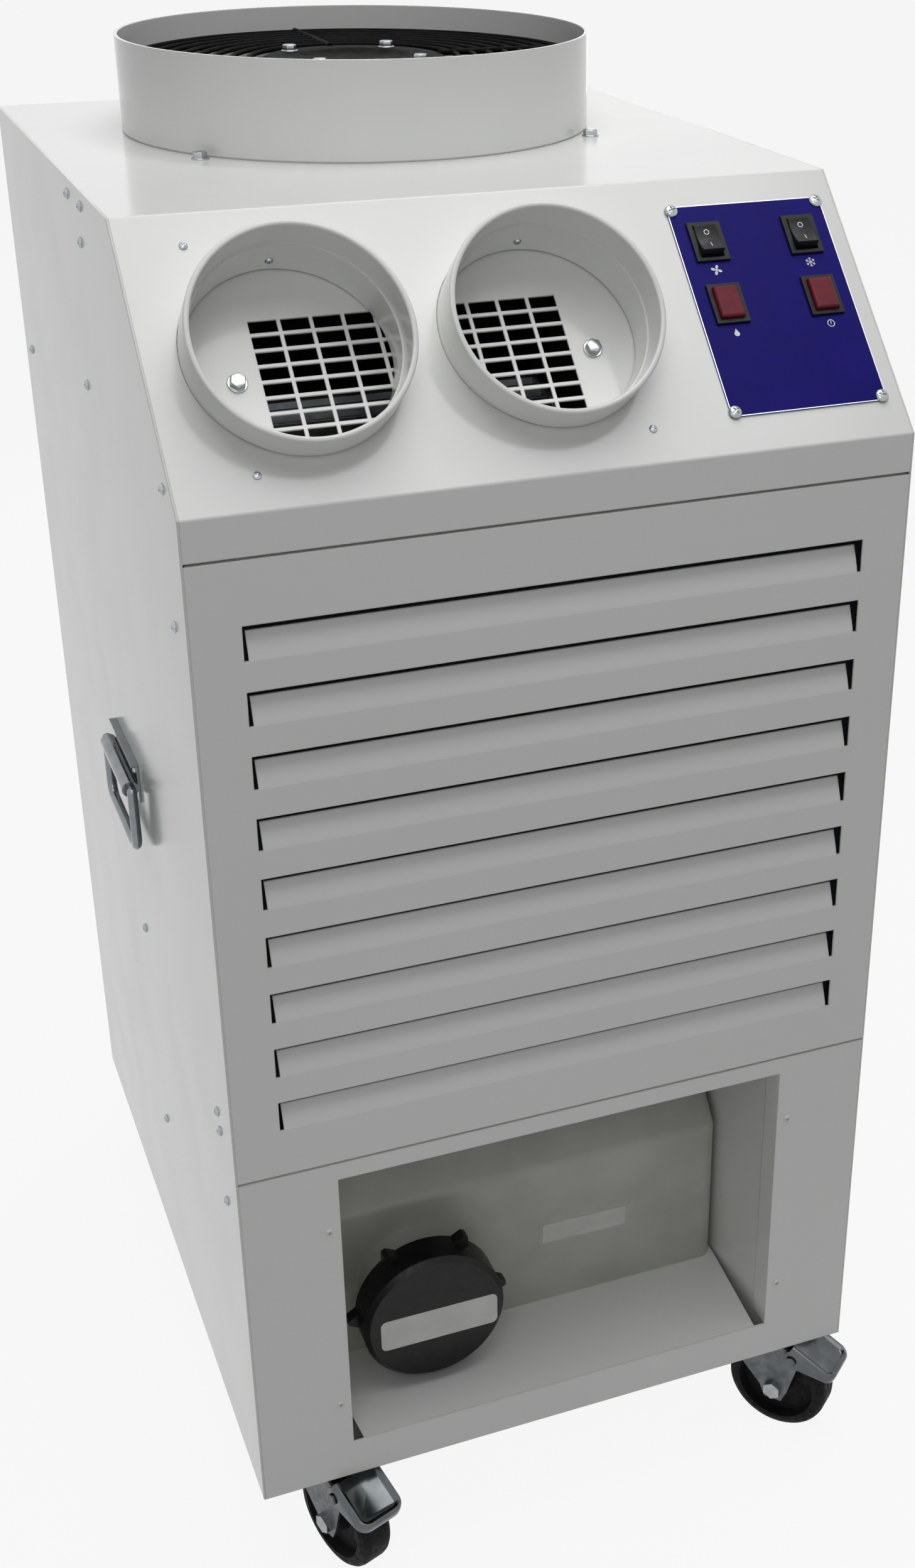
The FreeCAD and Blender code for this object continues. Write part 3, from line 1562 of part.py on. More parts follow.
def brake_pedal(name, side, angle):
    """A pressed pedal: an upside-down tray with raised ribs, hung on the fork's rivets by its sides."""
    owner = body()
    grade = pedal_drop / pedal_reach
    rear = -pedal_ahead
    front = rear - pedal_reach
    low = -pedal_rear - pedal_drop
    ear = pedal_pin * 2.7
    profile = sketch_on(owner, "YZ_Plane")
    corners = [
        (rear, -pedal_rear),
        (front, low),
        (front - pedal_sheet * 2, low - pedal_sheet * 2),
        (front - pedal_sheet * 2, low - pedal_toe),
        (rear - ear, -pedal_below - ear),
        (rear + ear / 2, -pedal_below - ear),
        (rear + ear, -pedal_below - ear / 2),
        (rear + ear, -pedal_below + ear),
    ]
    tray = pad(owner, outline(profile, corners), pedal_half * 2, both=True)

    def on_side(middle, edge):
        return near(abs(middle.x), pedal_half) and near(middle.y, (rear + front) / 2)

    rounded(owner, tray, pedal_sheet * 1.5, on_side)
    under = sketch_on(owner, "YZ_Plane")
    behind = pedal_ahead / 3
    sole = pedal_rear + pedal_sheet * 1.2
    inner_toe = front - pedal_sheet
    corners = [
        (rear + behind, grade * behind - sole),
        (inner_toe, grade * (inner_toe - rear) - sole),
        (inner_toe, -lift),
        (rear + behind, -lift),
    ]
    pocket(owner, outline(under, corners), (pedal_half - pedal_sheet) * 2, both=True)

    def on_tread(near_share, far_share):
        """A strip on the tread between two shares of its reach, as high as the ribs."""
        a = pedal_reach * near_share
        b = pedal_reach * far_share
        z_a = -pedal_rear - grade * a
        z_b = -pedal_rear - grade * b
        return [(rear - a, z_a), (rear - b, z_b), (rear - b, z_b + pedal_rib), (rear - a, z_a + pedal_rib)]

    rib_half = pedal_half * 0.78
    rib_width = pedal_sheet * 2
    side_rib = sketch_on(owner, "YZ_Plane", away=rib_half - rib_width)
    rib = pad(owner, outline(side_rib, on_tread(0.08, 0.68)), rib_width)
    mirrored(owner, [rib], "YZ_Plane")
    front_rib = sketch_on(owner, "YZ_Plane")
    pad(owner, outline(front_rib, on_tread(0.6, 0.68)), rib_half * 2, both=True)
    bore = sketch_on(owner, "YZ_Plane")
    round_line(bore, -pedal_ahead, -pedal_below, pedal_pin + running)
    pocket(owner, bore, pedal_half * 4, both=True)
    piece(name, caster_frame(owner, side, caster_front_y, angle))


def rear_casters():
    """Fixed casters at the back: plate and legs in one pressing, on a plain axle."""
    forks = []
    axles = []
    outer = fork_half + fork_sheet
    for side in (-1, 1):
        owner = body()
        top = sketch_on(owner, "XY_Plane", away=-mount_plate)
        rectangle(top, -mount_half_x, -mount_half_y, mount_half_x, mount_half_y)
        pad(owner, top, mount_plate)
        corners = [
            (mount_half_y - 14, -mount_plate),
            (14 - mount_half_y, -mount_plate),
            (-13, axle_z),
            (-8, axle_z - 12),
            (8, axle_z - 12),
            (13, axle_z),
        ]
        fork_leg(owner, corners)
        at = (caster_x * side, caster_rear_y, lift)
        forks.append(put(without(owner, [axle_hole(0)]), at))
        axles.append(put(axle(0), at))
    piece("rear_caster_forks", group(forks))
    piece("rear_axles", group(axles))


def hex_bolts():
    """Bolts round the exhaust outlet, on the guard's disc and beside the outlet grille."""
    bolts = []
    for side in (-1, 1):
        for end in (-1, 1):
            at = (bolt_half_x * side, duct_y + bolt_half_y * end, roof_z)
            bolts.append(hexagon(7.5, 5, at))
            at = (motor_bolt_x * side, duct_y + motor_bolt_y * end, guard_z - guard_wire + disc_sheet)
            bolts.append(hexagon(6, 5, at))
        u = spigot_mid_u + grille_bolt_half * side
        bolts.append(hexagon(7, 5, slope_at(u, grille_bolt_v, -grille_back), ON_SLOPE))
    piece("hex_bolts", group(bolts))


# Screws of the side panels, as places along Y and Z
SIDE_SCREWS = [
    (front_y + 39, intake_top + 39),
    (front_y + 39, intake_top - 54),
    (front_y + 49, base_top + 33),
    (front_y + 45, base_top + 18),
    (front_y + 41, base_top - 44),
    (-18, intake_top + 34),
    (-18, base_top + 44),
    (-23, lift + 163),
    (-18, roof_z - 12),
    (-73, roof_z - 11),
    (-60, roof_z - 38),
    (back_y - 39, intake_top - 15),
]
SCREW_RADIUS = 4
SCREW_HEAD = 2


def screw(at, turn):
    item = doc.addObject("Part::Cone", "screw")
    item.Radius1 = SCREW_RADIUS
    item.Radius2 = SCREW_RADIUS * 0.6
    item.Height = SCREW_HEAD
    return put(item, at, turn)


def panel_screws():
    """Pan-head screws: down both side panels and at the control plate's corners."""
    screws = []
    for y, z in SIDE_SCREWS:
        for side, turn in ((-1, TO_LEFT), (1, TO_RIGHT)):
            screws.append(screw((half_width * side, y, z), turn))
    for side in (-1, 1):
        for end in (-1, 1):
            u = panel_u + (panel_width / 2 - panel_screw_inset) * side
            v = panel_v + (panel_height / 2 - panel_screw_inset) * end
            screws.append(screw(slope_at(u, v, panel_sheet), ON_SLOPE))
    piece("panel_screws", group(screws))


side_panel("left_side_panel", -half_width, 0)
side_panel("right_side_panel", inner_half, sheet)
intake_panel("front_intake_panel", intake_top, (0, front_y, 0), UPRIGHT)
intake_panel("rear_intake_panel", roof_z - sheet, (0, back_y, 0), FACING_BACK)
base_front_panel()
lower_rear_panel()
cable_gland()
base_pan()
top_housing()
outlet_spigot("outlet_spigot_left", -1)
outlet_spigot("outlet_spigot_right", 1)
outlet_grille_plate()
control_plate()
switch_bodies()
rocker("fan_rocker", switch_spots(rocker_row)[0])
rocker("cooling_rocker", switch_spots(rocker_row)[1])
indicators()
electrical_box()
exhaust_spigot()
fan_plate()
fan_guard()
exhaust_fan_motor()
exhaust_fan_impeller()
coil("evaporator_coil", evap_height, evap_depth, (0, evap_y, base_top + sheet))
coil("condenser_coil", cond_height, cond_depth, (0, cond_y, base_top))
mid_shelf()
bulkhead()
air_filter()
drip_tray()
drain_spout()
blower_housing()
blower_wheel()
blower_motor()
compressor()
compressor_feet()
filter_drier()
refrigerant_pipes()
tank_shelf()
tank_bay_liner()
condensate_tank()
tank_cap()
piece("handle_plates", group([handle_plate(-1), handle_plate(1)]))
handle_bail("left_handle_bail", -1)
handle_bail("right_handle_bail", 1)
caster_plates()
for word, side, angle in (("left", -1, swivel_left), ("right", 1, swivel_right)):
    front_fork(f"front_fork_{word}", side, angle)
    piece(f"front_axle_{word}", caster_frame(axle(trail), side, caster_front_y, angle))
    caster_wheel(f"front_wheel_{word}", side, caster_front_y, angle, trail)
    brake_pedal(f"brake_pedal_{word}", side, angle)
    caster_wheel(f"rear_wheel_{word}", side, caster_rear_y, 0, 0)
rear_casters()
hex_bolts()
panel_screws()

# Checks and files
doc.recompute()
for item in doc.Objects:
    if {"Invalid", "Error"} & set(item.State):
        raise ValueError(f"{item.Name} ({item.Label}) is {item.State}")
for name, item in pieces.items():
    shape = item.Shape
    if shape.isNull() or not shape.isValid() or not shape.Solids:
        raise ValueError(f"{name} has no valid solid")
os.makedirs("parts", exist_ok=True)
for name, item in pieces.items():
    item.Shape.exportStep(f"parts/{name}.step")
print(len(pieces), "pieces")
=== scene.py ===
"""Looks of the portable air conditioner: finishes, small fittings, light and camera."""

import json
import math

import bmesh
import bpy
from mathutils import Matrix, Vector


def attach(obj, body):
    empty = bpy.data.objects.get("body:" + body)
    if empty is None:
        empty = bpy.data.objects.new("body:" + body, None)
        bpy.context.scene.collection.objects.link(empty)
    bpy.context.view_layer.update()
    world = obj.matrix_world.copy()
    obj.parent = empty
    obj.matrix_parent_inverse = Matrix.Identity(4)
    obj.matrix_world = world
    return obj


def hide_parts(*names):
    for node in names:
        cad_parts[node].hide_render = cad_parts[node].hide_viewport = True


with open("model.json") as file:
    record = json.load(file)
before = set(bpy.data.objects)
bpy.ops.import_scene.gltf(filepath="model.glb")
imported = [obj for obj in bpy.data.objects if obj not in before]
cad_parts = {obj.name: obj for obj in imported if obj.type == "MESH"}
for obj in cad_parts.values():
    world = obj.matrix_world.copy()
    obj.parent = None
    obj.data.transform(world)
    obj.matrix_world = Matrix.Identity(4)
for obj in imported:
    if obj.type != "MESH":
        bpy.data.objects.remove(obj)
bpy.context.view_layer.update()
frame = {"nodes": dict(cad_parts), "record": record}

MM = 0.001


# Places, in millimetres as the part's source gives them
FRONT_Y = -330
LIFT = 108
HALF_WIDTH = 260
FOLD_Z = 928
ROOF_Z = 1082
SLOPE_TILT = 45
PLATE_MID = (186.3, 111)
PLATE_SIZE = (121, 167)
PLATE_SHEET = 1.2
SWITCH_HALF = 37
ROCKER_ROW = 53
LAMP_ROW = 3
OUTLET_MID = -75
DUCT_Y = 139


def at(x, y, z):
    """A place in the frame, from millimetres."""
    return Matrix.Translation(Vector((x, y, z)) * MM)


def turned(degrees, axis):
    return Matrix.Rotation(math.radians(degrees), 4, axis)


def on_slope(u, v, h):
    """A place on the sloping front: u along X, v up the slope, h out of it."""
    half_root = math.sqrt(0.5)
    foot = at(u, FRONT_Y + (v - h) * half_root, FOLD_Z + (v + h) * half_root)
    return foot @ turned(SLOPE_TILT, "X")


# Ways of making a piece
SMOOTH_UP_TO = 35
MERGE_WITHIN = 0.001


def lathe(profile, steps):
    """Spins a line of (radius, height) points round Z into a closed skin."""
    bm = bmesh.new()
    points = [bm.verts.new((r * MM, 0, z * MM)) for r, z in profile]
    edges = [bm.edges.new(pair) for pair in zip(points, points[1:])]
    bmesh.ops.spin(
        bm,
        geom=points + edges,
        cent=(0, 0, 0),
        axis=(0, 0, 1),
        angle=math.tau,
        steps=steps,
        use_merge=True,
    )
    bmesh.ops.remove_doubles(bm, verts=bm.verts, dist=MERGE_WITHIN * MM)
    bmesh.ops.recalc_face_normals(bm, faces=bm.faces)
    return bm


def block(wide, deep, high):
    """A block in millimetres, standing on its own XY plane."""
    bm = bmesh.new()
    bmesh.ops.create_cube(bm, size=1)
    bmesh.ops.scale(bm, vec=Vector((wide, deep, high)) * MM, verts=bm.verts)
    bmesh.ops.translate(bm, vec=(0, 0, high * MM / 2), verts=bm.verts)
    return bm


def rod(radius, long, sides):
    """A bar along Z in millimetres, with its middle at the origin."""
    bm = bmesh.new()
    bmesh.ops.create_cone(
        bm,
        cap_ends=True,
        segments=sides,
        radius1=radius * MM,
        radius2=radius * MM,
        depth=long * MM,
    )
    return bm


def thickened(bm, away):
    """Gives a flat shape its thickness along a way in millimetres."""
    grown = bmesh.ops.extrude_face_region(bm, geom=bm.faces[:])
    moved = [v for v in grown["geom"] if isinstance(v, bmesh.types.BMVert)]
    bmesh.ops.translate(bm, vec=Vector(away) * MM, verts=moved)
    bmesh.ops.recalc_face_normals(bm, faces=bm.faces)
    return bm


def soften(bm, width, segments, edges):
    """Rounds edges to a width in millimetres."""
    bmesh.ops.bevel(
        bm,
        geom=edges,
        offset=width * MM,
        offset_type="OFFSET",
        affect="EDGES",
        segments=segments,
        profile=0.5,
        material=-1,
        clamp_overlap=True,
    )


def sharp_edges(bm, degrees):
    """The edges whose two faces turn by more than an angle."""
    bm.normal_update()
    limit = math.radians(degrees)
    return [e for e in bm.edges if len(e.link_faces) == 2 and e.calc_face_angle() > limit]


def joined(parts):
    """One mesh of several: each part is a bmesh and the place it goes to."""
    whole = bmesh.new()
    for bm, place in parts:
        copy = bpy.data.meshes.new("copy")
        bm.to_mesh(copy)
        copy.transform(place)
        whole.from_mesh(copy)
        bpy.data.meshes.remove(copy)
    return whole


def piece(name, bm, body, material, instead_of=None):
    """Makes a mesh a piece of the object, with the body it rides on and its finish."""
    mesh = bpy.data.meshes.new(name)
    bm.normal_update()
    bm.to_mesh(mesh)
    bm.free()
    for face in mesh.polygons:
        face.use_smooth = True
    mesh.set_sharp_from_angle(angle=math.radians(SMOOTH_UP_TO))
    mesh.materials.append(material)
    item = bpy.data.objects.new(name, mesh)
    bpy.context.scene.collection.objects.link(item)
    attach(item, body)
    if instead_of:
        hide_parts(*instead_of)


# Ways of making a finish
NOISE_LOW = 0.3
NOISE_HIGH = 0.7
BEVEL_SAMPLES = 4
# Sockets of a Mix node that mixes colours; their names are shared, so they go by number
MIX_FACTOR = 0
MIX_FIRST = 6
MIX_SECOND = 7
MIX_RESULT = 2


def linear(code):
    """A hex sRGB colour as linear red, green, blue and alpha."""
    parts = [int(code[i:i + 2], 16) / 255 for i in (1, 3, 5)]
    return [c / 12.92 if c <= 0.04045 else ((c + 0.055) / 1.055) ** 2.4 for c in parts] + [1]


def add(tree, kind, inputs, **settings):
    """Adds a node with its settings; an input that is a socket is linked, any other is set."""
    node = tree.nodes.new("ShaderNode" + kind)
    for name, value in settings.items():
        setattr(node, name, value)
    for name, value in inputs.items():
        if isinstance(value, bpy.types.NodeSocket):
            tree.links.new(value, node.inputs[name])
        else:
            node.inputs[name].default_value = value
    return node


class Finish:
    """A procedural material: one shader, and the pattern that is added to it."""

    def __init__(self, name, roughness, metallic=0, ior=1.5, shine=0.5):
        self.material = bpy.data.materials.new(name)
        self.material.use_nodes = True
        self.tree = self.material.node_tree
        self.shader = self.tree.nodes["Principled BSDF"]
        self.shader.inputs["Roughness"].default_value = roughness
        self.shader.inputs["Metallic"].default_value = metallic
        self.shader.inputs["IOR"].default_value = ior
        self.shader.inputs["Specular IOR Level"].default_value = shine
        self.place = add(self.tree, "TexCoord", {}).outputs["Object"]

    def noise(self, millimetres, detail=2):
        """Noise whose lumps are about this wide."""
        inputs = {"Vector": self.place, "Scale": 1 / (millimetres * MM), "Detail": detail}
        return add(self.tree, "TexNoise", inputs).outputs["Fac"]

    def cells(self, millimetres):
        inputs = {"Vector": self.place, "Scale": 1 / (millimetres * MM)}
        return add(self.tree, "TexVoronoi", inputs).outputs["Color"]

    def between(self, factor, low, high):
        """Runs from one number to another over the range that noise mostly keeps to."""
        inputs = {
            "Value": factor,
            "From Min": NOISE_LOW,
            "From Max": NOISE_HIGH,
            "To Min": low,
            "To Max": high,
        }
        return add(self.tree, "MapRange", inputs, interpolation_type="SMOOTHSTEP").outputs["Result"]

    def colours(self, factor, first, second):
        """Two hex colours, mixed by a factor."""
        spread = self.between(factor, 0, 1)
        inputs = {MIX_FACTOR: spread, MIX_FIRST: linear(first), MIX_SECOND: linear(second)}
        mix = add(self.tree, "Mix", inputs, data_type="RGBA")
        self.tree.links.new(mix.outputs[MIX_RESULT], self.shader.inputs["Base Color"])

    def rough(self, factor, low, high):
        self.tree.links.new(self.between(factor, low, high), self.shader.inputs["Roughness"])

    def bump(self, height, millimetres, edge=0.6):
        """Relief of this depth from a height between 0 and 1, over edges rounded to a radius."""
        corner = add(self.tree, "Bevel", {"Radius": edge * MM}, samples=BEVEL_SAMPLES)
        inputs = {
            "Height": height,
            "Strength": 1,
            "Distance": millimetres * MM,
            "Normal": corner.outputs[0],
        }
        relief = add(self.tree, "Bump", inputs)
        self.tree.links.new(relief.outputs["Normal"], self.shader.inputs["Normal"])


# Finishes
def gloss_powder_coat():
    """Powder coat on steel, baked: gloss with the faint orange peel of flowed powder."""
    f = Finish("gloss_powder_coat", 0.14)
    f.colours(f.noise(260), "#E9EAE7", "#EBECE9")
    f.rough(f.noise(90), 0.12, 0.17)
    f.bump(f.noise(4, 1), 0.006, 1.4)
    return f.material


def galvanised_steel():
    """Hot-dip galvanised sheet: dull zinc with spangles about 10 mm wide."""
    f = Finish("galvanised_steel", 0.4, 1)
    spangle = f.cells(10)
    f.colours(spangle, "#9EA3A6", "#BEC2C4")
    f.rough(spangle, 0.34, 0.5)
    f.bump(f.noise(1.5), 0.02)
    return f.material


def zinc_plated_steel():
    """Electroplated zinc on pressed steel: bright grey with slightly cloudy patches."""
    f = Finish("zinc_plated_steel", 0.3, 1)
    f.colours(f.noise(9, 4), "#8E9193", "#A5A8A9")
    f.rough(f.noise(5, 4), 0.22, 0.36)
    f.bump(f.noise(1.2), 0.02)
    return f.material


def dull_caster_steel():
    """Zinc plate painted dark grey as painted shade, for the shade on the caster pressings under
    the cabinet and on the blower wheel inside the casing; cloudy, with a weak sheen.
    """
    f = Finish("dull_caster_steel", 0.42, 1)
    f.colours(f.noise(10, 4), "#55585A", "#696C6E")
    f.rough(f.noise(6, 3), 0.36, 0.5)
    f.bump(f.noise(1.4), 0.02)
    return f.material


def bright_plated_steel(name, dark, light):
    """Polished and plated steel: near mirror, with faint handling haze; the handle and pedal copies
    have darker colours as painted shade.
    """
    f = Finish(name, 0.16, 1)
    f.colours(f.noise(14, 3), dark, light)
    f.rough(f.noise(16), 0.13, 0.2)
    f.bump(f.noise(6, 1), 0.01)
    return f.material


def black_matt_paint():
    """Black stove enamel on wire and castings: matt, with a fine grain."""
    f = Finish("black_matt_paint", 0.6, shine=0.03)
    f.colours(f.noise(20), "#0C0C0D", "#151516")
    f.rough(f.noise(6), 0.52, 0.66)
    f.bump(f.noise(1), 0.02)
    return f.material


def printed_blue_enamel():
    """Screen-printed blue enamel on aluminium sheet: flat, satin, with a very fine print grain."""
    f = Finish("printed_blue_enamel", 0.4, shine=0.08)
    f.colours(f.noise(40, 3), "#150C6A", "#191074")
    f.rough(f.noise(3), 0.36, 0.44)
    f.bump(f.noise(0.8), 0.008)
    return f.material


def black_moulded_abs():
    """Moulded ABS: near black, with the fine spark texture of its mould, drawn coarse to show."""
    f = Finish("black_moulded_abs", 0.36, ior=1.53, shine=0.2)
    f.colours(f.noise(12), "#111112", "#191A1A")
    f.rough(f.noise(4), 0.3, 0.44)
    f.bump(f.noise(0.7), 0.02)
    return f.material


def red_moulded_lens():
    """Tinted acrylic: glossy, deep red, with fine ribs that diffuse the lamp."""
    f = Finish("red_moulded_lens", 0.14, ior=1.49, shine=0.14)
    f.colours(f.noise(10), "#6B1727", "#771D2C")
    ribs_per_millimetre = 0.35
    ribs = {"Vector": f.place, "Scale": ribs_per_millimetre / MM, "Distortion": 0.2}
    wave = add(f.tree, "TexWave", ribs, bands_direction="X")
    f.bump(wave.outputs["Fac"], 0.05)
    return f.material


def natural_polyethylene():
    """Blow-moulded natural polyethylene: milky, waxy, with slow waves in its skin."""
    f = Finish("natural_polyethylene", 0.42, ior=1.52)
    f.colours(f.noise(50, 3), "#B6B7AF", "#C2C3BB")
    f.rough(f.noise(18), 0.36, 0.48)
    f.shader.inputs["Subsurface Weight"].default_value = 0.2
    f.shader.inputs["Subsurface Radius"].default_value = (0.004, 0.004, 0.003)
    f.bump(f.noise(16, 1), 0.12)
    return f.material


def grey_vinyl_tube():
    """Extruded PVC tube: plain grey with a soft sheen."""
    f = Finish("grey_vinyl_tube", 0.38, ior=1.54)
    f.colours(f.noise(14), "#84888A", "#94989A")
    f.bump(f.noise(3), 0.03)
    return f.material


def filter_fleece():
    """Needled polyester fleece: dark grey, rough, with loose fibres."""
    f = Finish("filter_fleece", 0.95)
    fibres = f.noise(1.6, 6)
    f.colours(fibres, "#24262A", "#41454A")
    f.bump(fibres, 0.6)
    return f.material


def coil_aluminium():
    """Rolled aluminium fin stock: dull silver, lightly streaked."""
    f = Finish("coil_aluminium", 0.38, 1)
    f.colours(f.noise(8, 4), "#B4B7B9", "#CACCCE")
    f.rough(f.noise(3, 3), 0.3, 0.46)
    return f.material


def drawn_copper():
    """Drawn copper tube: warm, with brown patches where it has dulled."""
    f = Finish("drawn_copper", 0.34, 1)
    f.colours(f.noise(24, 4), "#8F5636", "#C07A54")
    f.rough(f.noise(10, 3), 0.26, 0.46)
    return f.material


def moulded_rubber(name, dark, light):
    """Moulded rubber: matt black, with a dusty bloom in patches."""
    f = Finish(name, 0.66, ior=1.52, shine=0.14)
    f.colours(f.noise(11, 4), dark, light)
    f.rough(f.noise(5, 3), 0.55, 0.78)
    f.bump(f.noise(1.2, 3), 0.06)
    return f.material


def bare_aluminium():
    """The cut edge of aluminium sheet: bright, finely filed."""
    f = Finish("bare_aluminium", 0.3, 1)
    f.colours(f.noise(4, 3), "#C9CBCD", "#DADCDD")
    f.rough(f.noise(1.5), 0.24, 0.38)
    return f.material


def white_print():
    """White screen ink: flat and slightly raised."""
    f = Finish("white_print", 0.45)
    f.colours(f.noise(3), "#E2E3EA", "#ECEDF2")
    return f.material


def white_vinyl_label():
    """A blank vinyl label: smooth white with a soft sheen."""
    f = Finish("white_vinyl_label", 0.42)
    f.colours(f.noise(20), "#D2D2CF", "#DCDCD9")
    f.bump(f.noise(9), 0.05)
    return f.material


powder = gloss_powder_coat()
galvanised = galvanised_steel()
zinc = zinc_plated_steel()
# Dark grey steel: painted shade for the casters and the blower wheel
shade_steel = dull_caster_steel()
bright = bright_plated_steel("bright_plated_steel", "#A2A5A7", "#B0B3B4")
# Plated steel darkened as painted shade and painted dark reflection, for the handles
handle_steel = bright_plated_steel("handle_plated_steel", "#7A7D7F", "#868A8C")
# Plated steel darkened as painted shade, for the pedals that reflect dark surroundings under the
# cabinet
pedal_plate = bright_plated_steel("pedal_steel_painted_shade", "#56595B", "#626567")
matt_black = black_matt_paint()
blue = printed_blue_enamel()
abs_black = black_moulded_abs()
print_white = white_print()
label_white = white_vinyl_label()

SLOT_FINISH = {
    "white_enamel": powder,
    "galvanised_sheet": galvanised,
    "zinc_plate": zinc,
    "black_wire": matt_black,
    "control_enamel": blue,
    "black_plastic": abs_black,
    "red_lens": red_moulded_lens(),
    "tank_plastic": natural_polyethylene(),
    "grey_tube": grey_vinyl_tube(),
    "filter_pad": filter_fleece(),
    "fin_stock": coil_aluminium(),
    "copper": drawn_copper(),
    "foot_rubber": moulded_rubber("foot_rubber", "#121213", "#1E1E1F"),
    "wheel_rubber": moulded_rubber("wheel_rubber", "#0D0D0E", "#161617"),
    "bright_plate": pedal_plate,
}


def coat_of(name, slot):
    """The finish of a slot, or a darker copy of the steel on casters, handles and the blower wheel,
    whose darker colour is painted shade.
    """
    coat = SLOT_FINISH[slot]
    # The blower wheel gets dark grey steel as painted shade, for the shade it sits in
    if name == "blower_wheel":
        return shade_steel
    # Caster pressings get dark grey steel as painted shade, for the shade under the cabinet
    if coat is zinc and ("caster" in name or "fork" in name):
        return shade_steel
    # Handles get the darkened plated steel, its dark tint painted reflection of dark surroundings
    if coat is zinc and "handle" in name:
        return handle_steel
    return coat


for part in frame["record"]["subparts"]:
    node = frame["nodes"][part["node"]]
    node.data.materials.clear()
    node.data.materials.append(coat_of(part["node"], part["material_slot"]))


# Intake panels: a sheet with rows of slots, and a flap pressed in below the open gap of each
PANEL_HALF = 258.5
PANEL_LOW = LIFT + 313
PANEL_RING = 477
PANEL_SHEET = 1.5
PANEL_FLANGE = 22
LOUVRE_HALF = 224.5
LOUVRE_SIDE_GAP = 3
LOUVRE_FIRST = 39.2
LOUVRE_PITCH = 46.15
LOUVRE_COUNT = 9
SLOT_HEIGHT = 24.5
# A flap's outer face: how far in from the sheet, and how high over the slot's lower edge
FLAP_FACE = [(0, 0), (0.3, 1.6), (1, 3.8), (2.2, 7), (7, 18.8)]


def in_slot(face):
    """Whether a face of the divided sheet lies in one of the slots."""
    spot = face.calc_center_median() / MM
    row = (spot.y - LOUVRE_FIRST) / LOUVRE_PITCH
    within = 0 < row < LOUVRE_COUNT and row % 1 < SLOT_HEIGHT / LOUVRE_PITCH
    return within and abs(spot.x) < LOUVRE_HALF


def slotted_sheet(high):
    """A flat sheet, divided by planes along the slots' edges, with the slots taken out."""
    bm = bmesh.new()
    bmesh.ops.create_grid(bm, x_segments=1, y_segments=1, size=1)
    bmesh.ops.translate(bm, vec=(0, 1, 0), verts=bm.verts)
    bmesh.ops.scale(bm, vec=Vector((PANEL_HALF, high / 2, 1)) * MM, verts=bm.verts)
    planes = [((LOUVRE_HALF * side, 0, 0), (1, 0, 0)) for side in (-1, 1)]
    for i in range(LOUVRE_COUNT):
        low = LOUVRE_FIRST + LOUVRE_PITCH * i
        planes += [((0, y, 0), (0, 1, 0)) for y in (low, low + SLOT_HEIGHT)]
    for spot, normal in planes:
        whole = bm.verts[:] + bm.edges[:] + bm.faces[:]
        bmesh.ops.bisect_plane(bm, geom=whole, plane_co=Vector(spot) * MM, plane_no=normal)
    bmesh.ops.delete(bm, geom=[f for f in bm.faces if in_slot(f)], context="FACES")
    return thickened(bm, (0, 0, -PANEL_SHEET))


def louvre_flap():
    """One flap, with its hinge line at the slot's lower edge."""
    half = LOUVRE_HALF - LOUVRE_SIDE_GAP
    back = [(deep + PANEL_SHEET, up) for deep, up in reversed(FLAP_FACE)]
    bm = bmesh.new()
    bm.faces.new([bm.verts.new(Vector((-half, up, -deep)) * MM) for deep, up in FLAP_FACE + back])
    return thickened(bm, (half * 2, 0, 0))


def intake_louvres(high):
    """The sheet, its flaps and its folded edges, lying flat with the outer face up."""
    parts = [(slotted_sheet(high), at(0, 0, 0))]
    for i in range(LOUVRE_COUNT):
        parts.append((louvre_flap(), at(0, LOUVRE_FIRST + LOUVRE_PITCH * i, 0)))
    fold = PANEL_FLANGE - PANEL_SHEET
    edge = PANEL_SHEET / 2
    for side in (-1, 1):
        upright = block(PANEL_SHEET, PANEL_RING, fold)
        parts.append((upright, at((PANEL_HALF - edge) * side, PANEL_RING / 2, -PANEL_FLANGE)))
    for y in (edge, PANEL_RING - edge):
        parts.append((block(PANEL_HALF * 2, PANEL_SHEET, fold), at(0, y, -PANEL_FLANGE)))
    return parts


REAR_HIGH = ROOF_Z - PANEL_SHEET - PANEL_LOW
for end, high, back_turn in (("front", PANEL_RING, 0), ("rear", REAR_HIGH, 180)):
    stand = turned(back_turn, "Z") @ at(0, FRONT_Y, PANEL_LOW) @ turned(90, "X")
    panel = joined([(bm, stand @ place) for bm, place in intake_louvres(high)])
    panel_node = [f"{end}_intake_panel"]
    piece(f"{end}_intake_louvres", panel, "cabinet", powder, panel_node)


# Screws with a pan head and a cross recess, in shares of the head's radius and height
PAN_HEAD = [(0, 1), (0.45, 0.96), (0.78, 0.74), (0.96, 0.36), (1, 0), (0, 0)]
RECESS_WIDE = 0.22
RECESS_LONG = 1.15
RECESS_FLOOR = 0.45


def cross_screw(radius, height):
    """A pan head cut by a cross recess."""
    head = bpy.data.meshes.new("head")
    lathe([(radius * r, height * z) for r, z in PAN_HEAD], 20).to_mesh(head)
    holder = bpy.data.objects.new("head", head)
    bpy.context.scene.collection.objects.link(holder)
    cutters = []
    for angle in (0, 90):
        bar = block(radius * RECESS_WIDE, radius * RECESS_LONG, height)
        bar.transform(at(0, 0, height * RECESS_FLOOR) @ turned(angle, "Z"))
        mesh = bpy.data.meshes.new("bar")
        bar.to_mesh(mesh)
        cutter = bpy.data.objects.new("bar", mesh)
        bpy.context.scene.collection.objects.link(cutter)
        cut = holder.modifiers.new("cross", "BOOLEAN")
        cut.object = cutter
        cut.solver = "EXACT"
        cutters.append(cutter)
    seen = holder.evaluated_get(bpy.context.evaluated_depsgraph_get())
    result = bmesh.new()
    result.from_mesh(seen.to_mesh())
    for item in [holder] + cutters:
        bpy.data.objects.remove(item)
    return result


